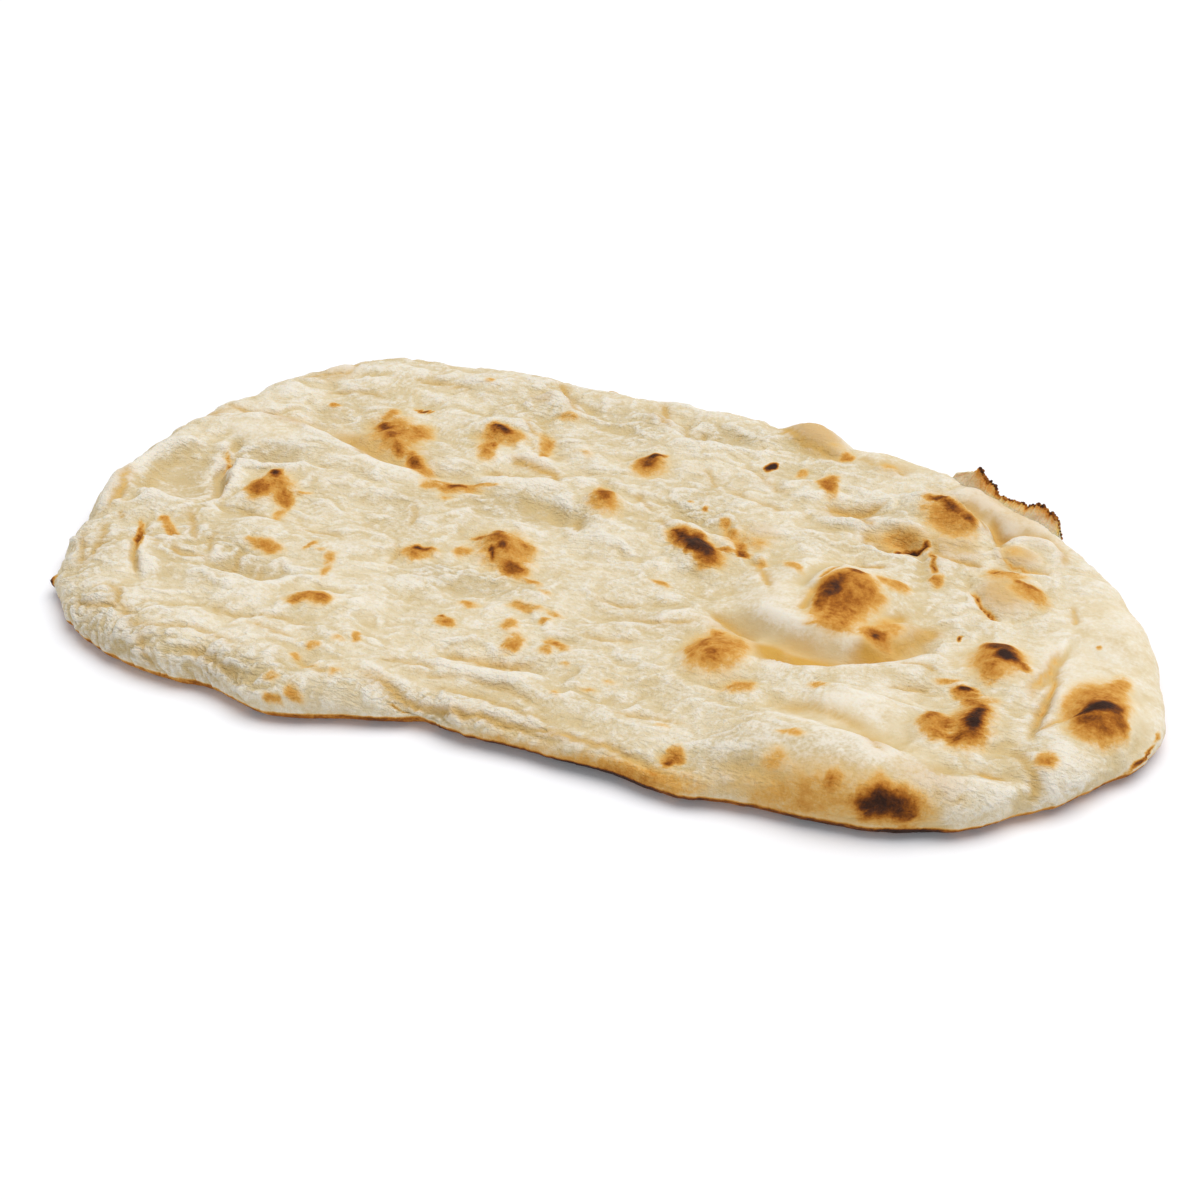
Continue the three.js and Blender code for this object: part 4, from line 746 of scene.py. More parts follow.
def creasing(q):
    """How deep, how golden and how baked the creases are at each place."""
    stray = strayed(q, far=CREASE_WANDER, size=5, seed=71)
    made = np.zeros((3, len(q)))
    for depth, half_width, gold, bake, points in CREASES:
        near, offset, full = beside(points, stray, CREASE_REACH * half_width)
        dent = full * np.exp(-np.abs(offset / half_width) ** CREASE_SHARP)
        made[0, near] += depth * dent
        made[1, near] = np.maximum(made[1, near], gold * dent)
        made[2, near] = np.maximum(made[2, near], bake * dent ** BAKED_NARROWER)
    return made


def swell(q):
    """The slow rise and fall that hand stretching leaves everywhere."""
    x = q[..., 0]
    y = q[..., 1]
    across = np.sin(x / SWELL_LONG + SWELL_BEND[0] * np.sin(y / SWELL_CROSS))
    along = np.sin(y / SWELL_CROSS + SWELL_BEND[1] * np.sin(x / SWELL_LONG + SWELL_SHIFT))
    return SWELL * across * along


def wrinkles(q):
    """Fine pillows, crests and creases of a dry floured skin."""
    bent = strayed(q, far=WRINKLE_STRAY, size=14, seed=31)
    rough = 1 - patches(q, TAUT)
    rumpled = patches(q, RUMPLED)
    lift = 0
    for size, height, sharp, seed, extra in WRINKLES:
        n = gradient_noise(bent[..., 0] / size, bent[..., 1] / (WRINKLE_SLANT * size), seed)
        ridge = RIDGE_GAIN * np.sqrt(n * n + RIDGE_ROUND) - RIDGE_MIDDLE
        wave = (1 - abs(sharp)) * n + sharp * ridge
        lift = lift + height * (rough + extra * rumpled) * wave
    return lift


def relief(q):
    """Height of the sheet's relief at each place."""
    flat = q.reshape(-1, 2)
    lift = swell(flat)
    for fold in FOLDS:
        add_fold(lift, flat, *fold)
    for *ellipse, height, soft in PILLOWS:
        lift += height * np.clip(1 - elliptic(flat, *ellipse) ** 2, 0, 1) ** soft
    for x, y, half_length, half_width, turn, _dark, _soft in SCORCHES:
        dome = elliptic(flat, x, y, MARK_REACH * half_length, MARK_REACH * half_width, turn)
        height = MARK_DOME * min(half_length, half_width)
        lift += height * np.clip(1 - dome ** 2, 0, 1) ** MARK_SOFT
    lift += wrinkles(flat) - creasing(flat)[0]
    return lift.reshape(q.shape[:-1])


def patches(q, table):
    """The strongest of some soft elliptic patches at each place."""
    level = np.zeros(q.shape[:-1])
    for *ellipse, strength in table:
        full = smoothstep(-elliptic(q, *ellipse), -PATCH_END, -PATCH_FULL)
        level = np.maximum(level, strength * full)
    return level


def scorching(q):
    """How far each place is baked, 0 pale to 1 black, with ragged edges."""
    ragged = strayed(q, far=SCORCH_RAGGED, size=6, seed=41)
    pale = np.ones(q.shape[:-1])
    darkest = np.zeros(q.shape[:-1])
    for *ellipse, dark, soft in SCORCHES:
        steep = SCORCH_EDGE[0] + SCORCH_EDGE[1] / soft
        mark = dark * np.exp(-(SCORCH_TIGHT * elliptic(ragged, *ellipse)) ** steep)
        darkest = np.maximum(darkest, mark)
        pale *= 1 - SCORCH_SHARED * mark
    return darkest + SCORCH_DEEPER * (1 - pale)


# ------------------------------------------------------------------ the crust's mesh

def square_to_disc(u, v):
    """Angle and radius of places on a square from -1 to 1, spread evenly over a disc."""
    wide = np.abs(u) >= np.abs(v)
    signed = np.where(wide, u, v)
    safe = np.where(signed == 0, 1, signed)
    angle = np.where(wide, np.pi / 4 * v / safe, np.pi / 2 - np.pi / 4 * u / safe)
    return np.where(signed < 0, angle + np.pi, angle), np.abs(signed)


def disc_grid(long_cells, cross_cells):
    """Angle and radius of the points of a square grid spread over a disc."""
    u, v = np.meshgrid(np.linspace(-1, 1, long_cells + 1), np.linspace(-1, 1, cross_cells + 1))
    return square_to_disc(u, v)


def border(long_cells, cross_cells):
    """Rows and columns of a grid's border points, anticlockwise from its first corner."""
    right = np.arange(long_cells)
    up = np.arange(cross_cells)
    columns = [right, np.full(cross_cells, long_cells), long_cells - right, np.zeros(cross_cells, int)]
    rows = [np.zeros(long_cells, int), up, np.full(long_cells, cross_cells), cross_cells - up]
    return np.concatenate(rows), np.concatenate(columns)


def rim_at(angle):
    """The rim where rays from the centre meet it: direction, reach, shoulder, rise and arc over it."""
    edge = outline_at(angle)
    reach = np.hypot(edge[..., 0], edge[..., 1])
    ray = edge / reach[..., None]
    shoulder = reach - RIM_ROUND
    rise = np.maximum(LEAST_CREST, thickness(ray * shoulder[..., None]) - WAIST)
    uneven = (RIM_ROUND - rise) / (RIM_ROUND + rise)
    arc = np.pi / 4 * (RIM_ROUND + rise) * (1 + uneven ** 2 / 4)
    return ray, reach, shoulder, rise, arc


def with_height(ray, reach, z):
    """Points at a reach along rays from the centre, and at a height."""
    return np.concatenate([ray * reach[..., None], z[..., None]], -1)


def top_of_dough():
    """The grid over the top: its points, their places on the flattened sheet, and their lift."""
    angle, radius = disc_grid(LONG_CELLS, CROSS_CELLS)
    ray, _reach, shoulder, rise, arc = rim_at(angle)
    s = radius * (shoulder + arc)
    over = np.clip((s - shoulder) / arc, 0, 1) * np.pi / 2
    inside = np.minimum(s, shoulder)
    sheet = ray * s[..., None]
    lift = relief(sheet)
    out = np.sin(over) / RIM_ROUND
    up = np.cos(over) / rise
    unit = np.hypot(out, up)
    r = inside + RIM_ROUND * np.sin(over) + lift * out / unit
    level = WAIST + (thickness(ray * inside[..., None]) - WAIST) * np.cos(over)
    z = np.maximum(level + lift * up / unit, WAIST)
    return with_height(ray, r, z), sheet, lift


def rings_under_rim(lift):
    """The rings from the waist down to the table, given the lift along the waist."""
    rows, columns = border(LONG_CELLS, CROSS_CELLS)
    angle = disc_grid(LONG_CELLS, CROSS_CELLS)[0][rows, columns]
    ray, reach, shoulder, _rise, arc = rim_at(angle)
    points = []
    sheet = []
    for ring in range(1, UNDER_RINGS + 1):
        down = ring / UNDER_RINGS
        under = down * np.pi / 2
        r = reach - UNDER_ROUND * (1 - np.cos(under)) + lift * np.cos(under)
        z = np.full(len(r), WAIST * (1 - np.sin(under)))
        points.append(with_height(ray, r, z))
        sheet.append(ray * (shoulder + arc + UNDER_ROUND * down)[:, None])
    return np.array(points), np.array(sheet)


def base_of_dough():
    """The half-fine grid of the underside, flat on the table but for its pits."""
    angle, radius = disc_grid(LONG_CELLS // 2, CROSS_CELLS // 2)
    ray, reach, _shoulder, _rise, _arc = rim_at(angle)
    r = (reach - UNDER_ROUND - FOOT_STRIP) * radius
    x = ray[..., 0] * r
    y = ray[..., 1] * r
    pits = np.clip(fractal(x, y, PIT_SIZE, octaves=2, seed=51), 0, 1)
    pits *= smoothstep(1 - radius, 0, PIT_FREE)
    return with_height(ray, r, BASE_PITS * pits)


def crust_faces(count_top, count_rings):
    """Quads over the top, down the rings and across the base, and triangles where fineness halves."""
    corner = np.arange(count_top).reshape(CROSS_CELLS + 1, LONG_CELLS + 1)
    quads = np.stack([corner[:-1, :-1], corner[:-1, 1:], corner[1:, 1:], corner[1:, :-1]], -1)
    faces = quads.reshape(-1, 4).tolist()

    rows, columns = border(LONG_CELLS, CROSS_CELLS)
    above = corner[rows, columns]
    for ring in range(UNDER_RINGS):
        below = count_top + ring * len(above) + np.arange(len(above))
        sides = np.stack([above, below, np.roll(below, -1), np.roll(above, -1)], -1)
        faces += sides.tolist()
        above = below

    half_rows, half_columns = border(LONG_CELLS // 2, CROSS_CELLS // 2)
    shape = (CROSS_CELLS // 2 + 1, LONG_CELLS // 2 + 1)
    low = count_top + count_rings + np.arange(shape[0] * shape[1]).reshape(shape)
    inner = low[half_rows, half_columns]
    following = np.roll(inner, -1)
    first = above[0::2]
    middle = above[1::2]
    last = np.roll(first, -1)
    for a, b, c in ((first, inner, middle), (middle, inner, following), (middle, following, last)):
        faces += np.stack([a, b, c], -1).tolist()
    quads = np.stack([low[:-1, :-1], low[1:, :-1], low[1:, 1:], low[:-1, 1:]], -1)
    return faces + quads.reshape(-1, 4).tolist()


def fit_to_cad(points):
    """Scale and offset, in X and Y, that set the crust's box on the CAD solid's."""
    low, high = (np.array(corner)[:2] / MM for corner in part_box("pinsa_base"))
    own_low, own_high = points[:, :2].min(0), points[:, :2].max(0)
    scale = (high - low) / (own_high - own_low)
    return scale, low - own_low * scale


def in_frame(points, fit):
    """Points in the frame's metres, from millimetres on the dough's own axes."""
    scale, offset = fit
    return np.concatenate([points[:, :2] * scale + offset, points[:, 2:]], -1) * MM


def placed(name, data):
    """A new object in the scene."""
    thing = bpy.data.objects.new(name, data)
    bpy.context.scene.collection.objects.link(thing)
    return thing


def mesh_piece(name, points, faces, marks, material):
    """A smooth mesh object with named values on its points."""
    mesh = bpy.data.meshes.new(name)
    mesh.from_pydata(points.tolist(), [], faces)
    for mark, values in marks.items():
        layer = mesh.attributes.new(mark, "FLOAT", "POINT")
        layer.data.foreach_set("value", np.asarray(values, np.float32))
    mesh.materials.append(material)
    mesh.shade_smooth()
    return placed(name, mesh)


def crust(material):
    """The whole crust as one closed piece, and how it was fitted to the CAD solid."""
    top, top_sheet, lift = top_of_dough()
    rows, columns = border(LONG_CELLS, CROSS_CELLS)
    rings, ring_sheet = rings_under_rim(lift[rows, columns])
    base = base_of_dough()
    points = np.concatenate([part.reshape(-1, 3) for part in (top, rings, base)])
    sheet = np.concatenate([part.reshape(-1, 2) for part in (top_sheet, ring_sheet)])
    count_top, count_rings, count_base = (part[..., 0].size for part in (top, rings, base))

    dip = np.clip(sum((blurred(lift, cells) - lift) / depth for cells, depth in DIPS), -1, 1)
    ring_dip = np.tile(dip[rows, columns], UNDER_RINGS)
    under = np.repeat(np.arange(1, UNDER_RINGS + 1) / UNDER_RINGS, rings.shape[1])
    _depth, crease_gold, crease_bake = creasing(sheet)
    marks = {
        "bake": np.maximum(scorching(sheet), crease_bake),
        "gold": np.maximum(patches(sheet, GOLDEN), crease_gold),
        "bare": patches(sheet, BARE),
        "taut": patches(sheet, TAUT),
        "rumpled": patches(sheet, RUMPLED),
        "dip": np.concatenate([dip.ravel(), ring_dip * (1 - under)]),
        "under": np.concatenate([np.zeros(count_top), under]),
    }
    for name, values in marks.items():  # the base has no mark but that it is under
        marks[name] = np.append(values, np.full(count_base, float(name == "under")))
    fit = fit_to_cad(points)
    faces = crust_faces(count_top, count_rings)
    return mesh_piece("pinsa_crust", in_frame(points, fit), faces, marks, material), fit


# ------------------------------------------------------------------ the torn wall

def ragged_edge():
    """The wall's torn edge, how far along each of its points is, and which one the tear starts at."""
    edge = evenly(WALL_EDGE, WALL_STEPS + 1)
    run = np.linspace(0, WALL_LENGTH, WALL_STEPS + 1)
    level = np.zeros_like(run)
    torn = TEAR_LONG * gradient_noise(run / TEAR_SIZES[0], level, seed=61)
    torn += TEAR_FINE * gradient_noise(run / TEAR_SIZES[1], level, seed=62)
    burst = int(np.argmax(edge[:, 2]))
    highest = CAD_BOX[1][2] / MM - CRUMB_LARGEST
    edge[:, 2] = np.minimum(edge[:, 2] + torn * smoothstep(run, TEAR_STARTS, run[burst]), highest)
    return edge, run, burst


def shell_faces(steps, rows):
    """Quads over the two sides of a thin shell and round its border."""
    corner = np.arange(2 * (steps + 1) * (rows + 1)).reshape(2, steps + 1, rows + 1)
    a, b = corner[:, :-1, :-1], corner[:, 1:, :-1]
    c, d = corner[:, 1:, 1:], corner[:, :-1, 1:]
    faces = np.stack([a[0], b[0], c[0], d[0]], -1).reshape(-1, 4).tolist()
    faces += np.stack([a[1], d[1], c[1], b[1]], -1).reshape(-1, 4).tolist()
    top, foot = corner[:, :, -1], corner[:, :, 0]
    left, right = corner[:, 0, :], corner[:, -1, :]
    for line, turned in ((top, False), (foot, True), (left, False), (right, True)):
        strip = np.stack([line[0, :-1], line[0, 1:], line[1, 1:], line[1, :-1]], -1)
        faces += (strip[:, ::-1] if turned else strip).tolist()
    return faces


def wall_bake(below, run, burst):
    """How baked the wall is at each place, given how far below its torn edge that is."""
    drip = SCORCH_DRIP * fractal(run[:, None] + 0 * below, below, DRIP_SIZE, octaves=3, seed=64)
    scorched = SCORCH_DEEP + (SCORCH_SHALLOW - SCORCH_DEEP) * smoothstep(run, *SCORCH_TURNS)
    bake = np.interp(below / scorched[:, None] + drip, *np.transpose(WALL_BAKE))
    return bake * smoothstep(run, run[burst] - SCORCH_STARTS, run[burst])[:, None]


def torn_wall(material, fit):
    """The thin wall left standing where a blister burst, and the charred part of its edge."""
    foot = evenly(WALL_FOOT, WALL_STEPS + 1)
    edge, run, burst = ragged_edge()
    along = np.gradient(edge, axis=0)
    back = np.stack([-along[:, 1], along[:, 0], 0 * run], -1)
    back /= np.linalg.norm(back, axis=1)[:, None]

    up = np.linspace(0, 1, WALL_ROWS + 1)
    v = up[None, :, None]
    face = foot[:, None] * (1 - v) + edge[:, None] * v
    lumps = fractal(run[:, None], WALL_HEIGHT * up[None, :], LUMP_SIZE, octaves=3, seed=63)
    bulge = WALL_SAG * np.sin(np.pi * v) + WALL_LUMPS * lumps[..., None]
    front = face + back[:, None] * bulge
    rear = front + back[:, None] * (WALL_THICK + (TORN_THICK - WALL_THICK) * v)
    points = np.concatenate([front.reshape(-1, 3), rear.reshape(-1, 3)])

    below = (1 - up)[None, :] * np.linalg.norm(edge - foot, axis=1)[:, None]
    gold = WALL_GOLD[0] + WALL_GOLD[1] * smoothstep(below, *GOLD_GROWS)
    marks = dict.fromkeys(("bare", "rumpled", "dip", "under"), np.zeros(len(points)))
    marks["taut"] = np.full(len(points), WALL_TAUT)
    marks["bake"] = np.tile(wall_bake(below, run, burst).ravel(), 2)
    marks["gold"] = np.tile(gold.ravel(), 2)
    faces = shell_faces(WALL_STEPS, WALL_ROWS)
    piece = mesh_piece("burst_blister", in_frame(points, fit), faces, marks, material)
    return piece, in_frame((edge + back * TORN_THICK / 2)[burst:], fit)


def crumb_tree(material):
    """Geometry Nodes: small uneven crumbs set along a line, some large, some hardly there."""
    inputs = {"Line": "Geometry", "Count": "Int", "Smallest": "Float", "Largest": "Float"}
    tree, given, made = new_group("charred_crumbs", "Geometry", inputs, {"Crumbs": "Geometry"})
    curve = node(tree, "GeometryNodeMeshToCurve", {"Mesh": given["Line"]}).outputs["Curve"]
    spots = node(tree, "GeometryNodeResampleCurve", {
        "Curve": curve, "Count": given["Count"],
    }).outputs["Curve"]
    ball = node(tree, "GeometryNodeMeshIcoSphere", {"Radius": 1.0, "Subdivisions": 2}).outputs["Mesh"]
    size = node(tree, "FunctionNodeRandomValue", {
        "Min": given["Smallest"], "Max": given["Largest"], "Seed": 5,
    }, data_type="FLOAT").outputs[1]
    turn = node(tree, "FunctionNodeRandomValue", {
        "Max": ANY_TURN, "Seed": 6,
    }, data_type="FLOAT_VECTOR").outputs["Value"]
    crumbs = node(tree, "GeometryNodeInstanceOnPoints", {
        "Points": spots, "Instance": ball, "Rotation": turn, "Scale": size,
    }).outputs["Instances"]
    crumbs = node(tree, "GeometryNodeRealizeInstances", {"Geometry": crumbs}).outputs["Geometry"]
    place = node(tree, "GeometryNodeInputPosition").outputs["Position"]
    rough = node(tree, "ShaderNodeTexNoise", {
        "Vector": place, "Scale": 1400.0, "Detail": 2.0,
    }).outputs["Color"]
    push = vector_maths(tree, "SUBTRACT", {0: rough, 1: NOISE_MIDDLE})
    push = vector_maths(tree, "SCALE", {0: push, "Scale": CRUMB_ROUGH * MM})
    crumbs = node(tree, "GeometryNodeSetPosition", {
        "Geometry": crumbs, "Offset": push,
    }).outputs["Geometry"]
    crumbs = node(tree, "GeometryNodeSetMaterial", {
        "Geometry": crumbs, "Material": material,
    }).outputs["Geometry"]
    tree.links.new(crumbs, made["Crumbs"])
    return tree


def plain_mesh(piece, tree, values):
    """Runs a Geometry Nodes tree on a piece, its named inputs set, and keeps the result as its mesh."""
    modifier = piece.modifiers.new(tree.name, "NODES")
    modifier.node_group = tree
    for socket in tree.interface.items_tree:
        if socket.name in values:
            modifier[socket.identifier] = values[socket.name]
    ready = piece.evaluated_get(bpy.context.evaluated_depsgraph_get())
    mesh = bpy.data.meshes.new_from_object(ready)
    piece.modifiers.clear()
    piece.data = mesh
    return piece


def charred_crumbs(edge, material):
    """The burnt crumbs that bead the torn wall's edge."""
    line = bpy.data.meshes.new("charred_crumbs")
    line.from_pydata(edge.tolist(), [(i, i + 1) for i in range(len(edge) - 1)], [])
    piece = placed("charred_crumbs", line)
    sizes = {"Count": CRUMB_COUNT, "Smallest": CRUMB_SMALLEST * MM, "Largest": CRUMB_LARGEST * MM}
    plain_mesh(piece, crumb_tree(material), sizes)
    for point in piece.data.vertices:
        point.co.z = min(point.co.z, CAD_BOX[1][2])
    return piece


# ------------------------------------------------------------------ nodes

def as_light(colour):
    """A colour given as it looks on a screen, 0 to 255, in the light values that nodes take."""
    parts = []
    for c in (part / 255 for part in colour):
        parts.append(c / 12.92 if c <= 0.04045 else ((c + 0.055) / 1.055) ** 2.4)
    return (*parts, 1.0)


def node(tree, kind, inputs=(), **settings):
    """Adds a node. Each input is a plain value, or the output that feeds it."""
    made = tree.nodes.new(kind)
    for name, value in settings.items():
        setattr(made, name, value)
    for socket, value in dict(inputs).items():
        if isinstance(value, bpy.types.NodeSocket):
            tree.links.new(value, made.inputs[socket])
        else:
            made.inputs[socket].default_value = value
    return made


def noise(tree, where, scale, detail=2.0, roughness=0.5, distortion=0.0):
    """The value of a noise texture."""
    inputs = {
        "Vector": where, "Scale": scale, "Detail": detail,
        "Roughness": roughness, "Distortion": distortion,
    }
    return node(tree, "ShaderNodeTexNoise", inputs).outputs["Fac"]


def remap(tree, value, low, high, to_low=0.0, to_high=1.0):
    """A value moved smoothly from one range to another and kept inside it."""
    inputs = {"Value": value, "From Min": low, "From Max": high, "To Min": to_low, "To Max": to_high}
    return node(tree, "ShaderNodeMapRange", inputs, interpolation_type="SMOOTHSTEP").outputs["Result"]


def maths(tree, operation, *values):
    """One sum of up to three values."""
    return node(tree, "ShaderNodeMath", dict(enumerate(values)), operation=operation).outputs[0]


def vector_maths(tree, operation, inputs):
    """One sum of vectors."""
    return node(tree, "ShaderNodeVectorMath", inputs, operation=operation).outputs["Vector"]


def creases_of(tree, value):
    """Noise folded at its middle: 0 along thin wandering lines, and more away from them."""
    return maths(tree, "ABSOLUTE", maths(tree, "SUBTRACT", value, 0.5))


def blend(tree, share, first, second):
    """A mix of two colours."""
    inputs = {0: share, 6: first, 7: second}
    return node(tree, "ShaderNodeMix", inputs, data_type="RGBA").outputs[2]


def attribute(tree, name):
    """A named value of the mesh's points."""
    return node(tree, "ShaderNodeAttribute", attribute_name=name).outputs["Fac"]


def new_group(name, family, inputs, outputs):
    """An empty node group with named sockets: the group, what it is given and what it makes."""
    group = bpy.data.node_groups.new(name, family + "NodeTree")
    for way, sockets in (("INPUT", inputs), ("OUTPUT", outputs)):
        for socket, kind in sockets.items():
            group.interface.new_socket(socket, in_out=way, socket_type="NodeSocket" + kind)
    given = group.nodes.new("NodeGroupInput").outputs
    return group, given, group.nodes.new("NodeGroupOutput").inputs


def skin_patterns(group, place):
    """The skin's patterns, by name: patches, thin lines, crinkles, grain and specks."""
    sway = node(group, "ShaderNodeTexNoise", {"Vector": place, "Scale": 90, "Detail": 3}).outputs["Color"]
    bent = vector_maths(group, "MULTIPLY_ADD", {0: sway, 1: SKIN_BEND, 2: place})
    drawn = vector_maths(group, "MULTIPLY", {0: bent, 1: SKIN_DRAWN})
    line = creases_of(group, noise(group, drawn, scale=300, detail=3, roughness=0.55))
    crinkle = creases_of(group, noise(group, bent, scale=560, detail=3, roughness=0.6))
    return {
        "broad": noise(group, place, scale=38, detail=3, roughness=0.55, distortion=0.4),
        "patch": noise(group, bent, scale=130, detail=4, roughness=0.6),
        "line": remap(group, line, low=0.0, high=0.08, to_low=1.0, to_high=0.0),
        "pucker": remap(group, line, low=0.0, high=0.16),
        "crinkle": remap(group, crinkle, low=0.0, high=0.14),
        "grain": noise(group, place, scale=850, detail=3, roughness=0.6),
        "speck": noise(group, place, scale=2400),
    }


def skin_colour(group, given, pattern, rough):
    """Cream dough, beige where bare, floured on rises, golden where puffed; yellow and tan painted shade
    in dips and creases.
    """
    dip = given["Dip"]
    broad = remap(group, pattern["broad"], low=0.35, high=0.68)
    colour = blend(group, broad, as_light(CREAM), as_light(CREAM_SHADE))
    patch = remap(group, pattern["patch"], low=0.5, high=0.72, to_high=0.6)
    colour = blend(group, patch, colour, as_light(CREAM_PATCH))
    # painted shade darkens the noise's fine crease lines
    line_shade = maths(group, "MULTIPLY", rough, LINE_SHADE_ROUGH)
    line_shade = maths(group, "MULTIPLY_ADD", given["Rumpled"], LINE_SHADE_RUMPLED, line_shade)
    crease_shade = maths(group, "MULTIPLY", pattern["line"], line_shade)
    colour = blend(group, crease_shade, colour, as_light(CREASE_SHADE_TAN))
    # bare skin, and painted shade in hollows and on the rim's front
    colour = blend(group, given["Bare"], colour, as_light(BARE_AND_SHADE_BEIGE))
    # the dips are darkened with yellow painted shade
    yellow = remap(group, dip, low=0.05, high=0.9, to_high=0.75)
    colour = blend(group, yellow, colour, as_light(DIP_SHADE_YELLOW))
    flour = maths(group, "MULTIPLY_ADD", pattern["grain"], FLOUR_GRAIN, FLOUR_LEVEL)
    flour = maths(group, "MULTIPLY_ADD", pattern["patch"], FLOUR_PATCH, flour)
    # less flour in the dips and more on the rises: partly real flour, partly painted shade and painted
    # highlight
    flour = maths(group, "MULTIPLY_ADD", dip, FLOUR_DIP_AND_LIGHT, flour)
    flour = remap(group, flour, low=0.16, high=0.58, to_high=0.8)
    colour = blend(group, flour, colour, as_light(FLOUR_WHITE))
    # golden puffed skin, and golden painted shade in troughs, creases and on the rim's front
    return blend(group, given["Gold"], colour, as_light(GOLD_PUFF_AND_SHADE))


def skin_height(group, given, pattern, rough):
    """The relief that is too fine for the mesh, strongest where the skin is rumpled."""
    rumple = maths(group, "MULTIPLY_ADD", given["Rumpled"], RUMPLED_HIGHER, rough)
    height = maths(group, "MULTIPLY", pattern["speck"], SPECK_HIGH)
    height = maths(group, "MULTIPLY_ADD", pattern["grain"], GRAIN_HIGH, height)
    for name, high in (("pucker", PUCKER_HIGH), ("crinkle", CRINKLE_HIGH)):
        fold = maths(group, "MULTIPLY", pattern[name], rumple)
        height = maths(group, "MULTIPLY_ADD", fold, high, height)
    return maths(group, "MULTIPLY", height, remap(group, rough, low=0.0, high=1.0, to_low=TAUT_LEFT))


def floured_skin_group():
    """The skin of the dough away from its scorch marks: its colour and its finest relief."""
    inputs = {"Place": "Vector", **dict.fromkeys(SKIN_MARKS, "Float")}
    outputs = {"Colour": "Color", "Height": "Float"}
    group, given, made = new_group("floured_skin", "Shader", inputs, outputs)
    pattern = skin_patterns(group, given["Place"])
    rough = maths(group, "SUBTRACT", 1.0, given["Taut"])
    group.links.new(skin_colour(group, given, pattern, rough), made["Colour"])
    group.links.new(skin_height(group, given, pattern, rough), made["Height"])
    return group


def oven_scorch_group():
    """Gold, orange, brown and black where the oven caught the dough."""
    inputs = {"Place": "Vector", "Colour": "Color", "Bake": "Float", "Speckle": "Float"}
    outputs = {"Colour": "Color", "Char": "Float"}
    group, given, made = new_group("oven_scorch", "Shader", inputs, outputs)
    place = given["Place"]
    bake = given["Bake"]
    broad = noise(group, place, scale=330, detail=4, roughness=0.6, distortion=0.4)
    fine = noise(group, place, scale=1150, detail=3, roughness=0.6)
    fleck = maths(group, "MULTIPLY_ADD", fine, FLECK_FINE, broad)
    shift = maths(group, "MULTIPLY", maths(group, "SUBTRACT", fleck, FLECK_MIDDLE), given["Speckle"])
    caught = remap(group, bake, low=0.03, high=0.5)
    level = maths(group, "MULTIPLY_ADD", shift, caught, maths(group, "MULTIPLY", bake, BAKE_SHARE))
    ramp = node(group, "ShaderNodeValToRGB", {"Fac": level})
    scale = ramp.color_ramp.elements
    scale[0].color = as_light(SCORCH_SCALE[0][1])
    scale[1].color = as_light(SCORCH_SCALE[-1][1])
    for position, colour in SCORCH_SCALE[1:-1]:
        scale.new(position).color = as_light(colour)
    marked = remap(group, level, low=0.04, high=0.32)
    mixed = blend(group, marked, given["Colour"], ramp.outputs["Color"])
    group.links.new(mixed, made["Colour"])
    group.links.new(remap(group, level, low=0.55, high=1.0), made["Char"])
    return group


def place_group(tree, group, inputs):
    """Puts a node group into a material, with its own values."""
    return node(tree, "ShaderNodeGroup", inputs, node_tree=group).outputs


def new_material(name, values):
    """A material, its node tree, its Principled shader with some plain values, and places on it."""
    material = bpy.data.materials.new(name)
    material.use_nodes = True
    tree = material.node_tree
    shader = tree.nodes["Principled BSDF"].inputs
    for socket, value in values.items():
        shader[socket].default_value = value
    return material, tree, shader, node(tree, "ShaderNodeTexCoord").outputs["Object"]


def dough_material(name, skin, scorch, glow):
    """Baked dough: floured skin, scorched where the mesh says, browned underneath, the brown band at the
    rim's foot partly painted contact shade.
    """
    material, tree, shader, where = new_material(name, {
        "Specular IOR Level": 0.2, "Subsurface Weight": glow,
        "Subsurface Radius": GLOW_COLOURS, "Subsurface Scale": GLOW_DEPTH,
    })
    under = attribute(tree, "under")
    bake = attribute(tree, "bake")
    marks = {mark: attribute(tree, mark.lower()) for mark in SKIN_MARKS}
    fine = place_group(tree, skin, {"Place": where, **marks})
    mottle = noise(tree, where, scale=90, detail=4, roughness=0.6, distortion=0.5)
    # browned underside; its dark band at the rim's foot is partly painted shade where the rim meets the
    # table
    toast_and_foot_shade = remap(tree, mottle, low=0.35, high=0.75, to_low=0.5, to_high=0.85)
    toast_and_foot_shade = maths(tree, "MULTIPLY", remap(tree, under, low=0.02, high=0.2), toast_and_foot_shade)
    paler = remap(tree, under, low=0.6, high=1.0, to_low=1.0, to_high=0.62)
    toast_and_foot_shade = maths(tree, "MULTIPLY", toast_and_foot_shade, paler)
    burnt = place_group(tree, scorch, {
        "Place": where, "Colour": fine["Colour"], "Speckle": FLECK_DOUGH,
        "Bake": maths(tree, "ADD", bake, toast_and_foot_shade),
    })
    tree.links.new(burnt["Colour"], shader["Base Color"])
    matt = remap(tree, burnt["Char"], low=0.0, high=1.0, to_low=DOUGH_ROUGH, to_high=CHAR_ROUGH)
    tree.links.new(matt, shader["Roughness"])
    bump = node(tree, "ShaderNodeBump", {
        "Height": fine["Height"], "Strength": BUMP_STRENGTH, "Distance": BUMP_DEPTH,
    })
    tree.links.new(bump.outputs["Normal"], shader["Normal"])
    return material


def char_material(scorch):
    """Dough burnt to a crumb: black with brown where it only just caught."""
    values = {"Roughness": 0.75, "Specular IOR Level": 0.3}
    material, tree, shader, where = new_material("charred_dough", values)
    bake = remap(tree, noise(tree, where, scale=420), low=0.35, high=0.65, to_low=0.55)
    burnt = place_group(tree, scorch, {
        "Place": where, "Colour": as_light(CRUMB_BROWN), "Bake": bake, "Speckle": FLECK_CRUMB,
    })
    tree.links.new(burnt["Colour"], shader["Base Color"])
    return material


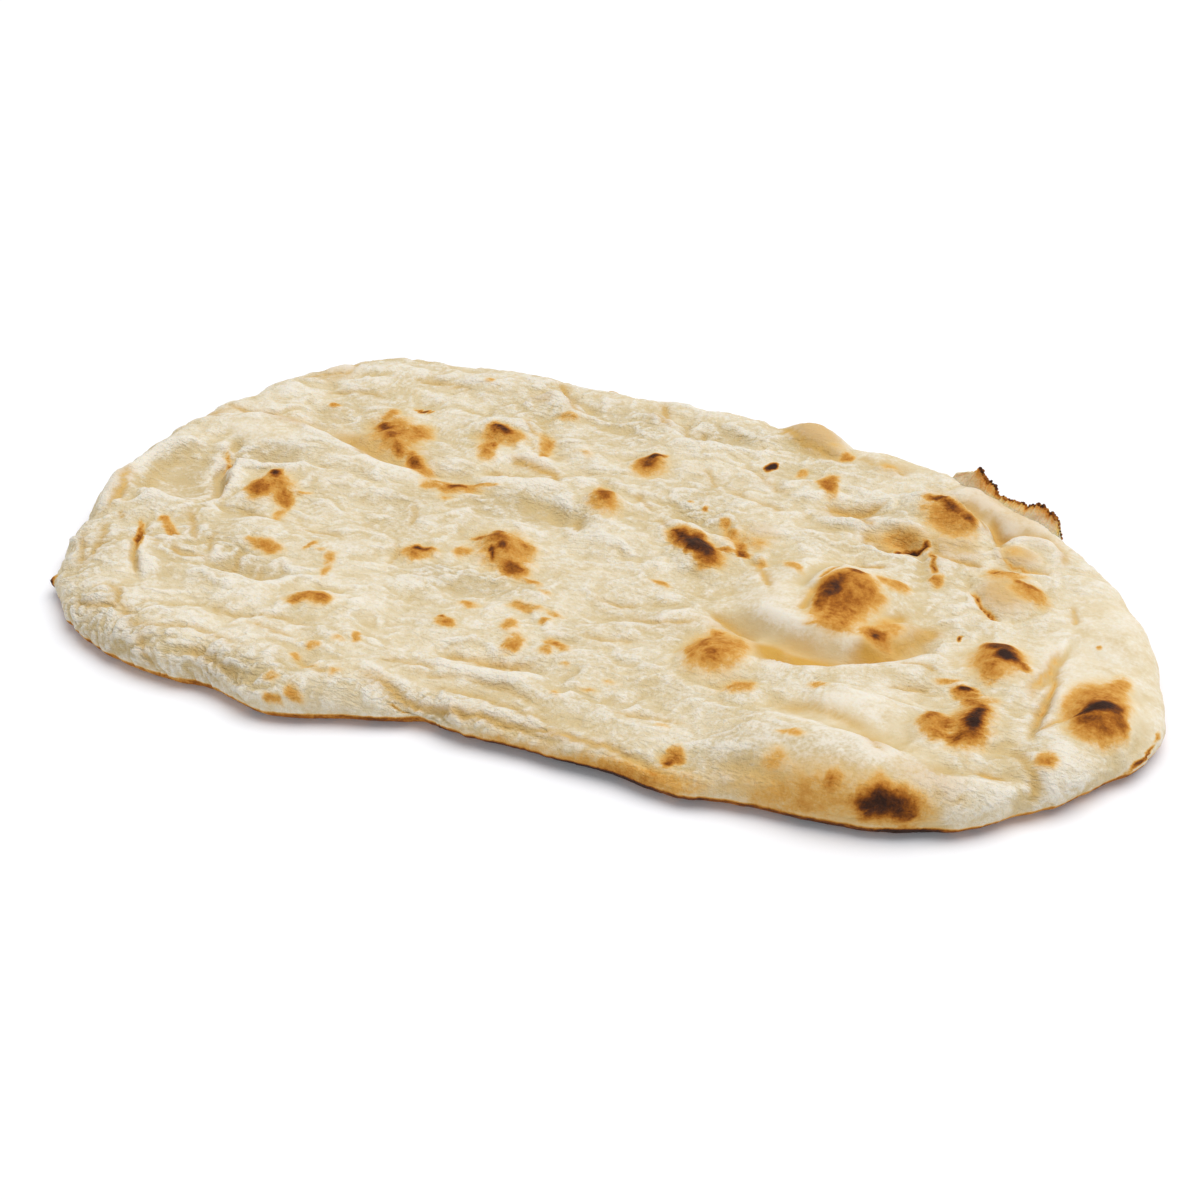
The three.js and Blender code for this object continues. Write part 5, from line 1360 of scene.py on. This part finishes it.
def floor_material():
    """A plain white sweep."""
    return new_material("white_sweep", {
        "Base Color": FLOOR_WHITE, "Emission Color": FLOOR_GLOW,
        "Emission Strength": FLOOR_GLOW_STRENGTH, "Roughness": 0.9,
    })[0]


# ------------------------------------------------------------------ the studio

def white_floor():
    """The flat white floor that the dough lies on."""
    far = FLOOR_REACH
    mesh = bpy.data.meshes.new("floor")
    mesh.from_pydata([(-far, -far, 0), (far, -far, 0), (far, far, 0), (-far, far, 0)], [], [(0, 1, 2, 3)])
    mesh.materials.append(floor_material())
    floor = placed("floor", mesh)


def lights():
    """One broad lamp from behind on the right, and white light all round."""
    lamp = bpy.data.lights.new("key", "SUN")
    lamp.energy = LAMP_STRENGTH
    lamp.angle = math.radians(LAMP_WIDTH)
    placed("key", lamp).rotation_euler = Vector(LAMP_FROM).to_track_quat("Z", "Y").to_euler()

    world = bpy.data.worlds.new("studio")
    world.use_nodes = True
    sky = world.node_tree.nodes["Background"].inputs
    sky["Color"].default_value = SKY_WHITE
    sky["Strength"].default_value = SKY_STRENGTH
    bpy.context.scene.world = world
    bpy.context.scene.view_settings.view_transform = "Standard"


def photo_camera():
    """The photograph's camera."""
    a = math.radians(CAMERA_AZIMUTH)
    e = math.radians(CAMERA_ELEVATION)
    back = Vector((math.sin(a) * math.cos(e), -math.cos(a) * math.cos(e), math.sin(e)))
    lens = bpy.data.cameras.new("camera")
    lens.sensor_width = SENSOR
    lens.lens = SENSOR / 2 / math.tan(math.radians(CAMERA_ANGLE / 2))
    camera = placed("camera", lens)
    camera.location = (Vector(CAMERA_TARGET) + back * CAMERA_DISTANCE) * MM
    camera.rotation_euler = back.to_track_quat("Z", "Y").to_euler()
    bpy.context.scene.camera = camera


# ------------------------------------------------------------------ putting it together

def main():
    """Builds the dough and its studio, and sets each piece under the root body."""
    skin = floured_skin_group()
    scorch = oven_scorch_group()
    white_floor()
    lights()
    photo_camera()
    loaf, fit = crust(dough_material("baked_dough", skin, scorch, GLOW_DOUGH))
    wall, edge = torn_wall(dough_material("torn_dough", skin, scorch, GLOW_WALL), fit)
    crumbs = charred_crumbs(edge, char_material(scorch))
    for piece in (loaf, wall, crumbs):
        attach(piece, "root")
    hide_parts("pinsa_base")


main()
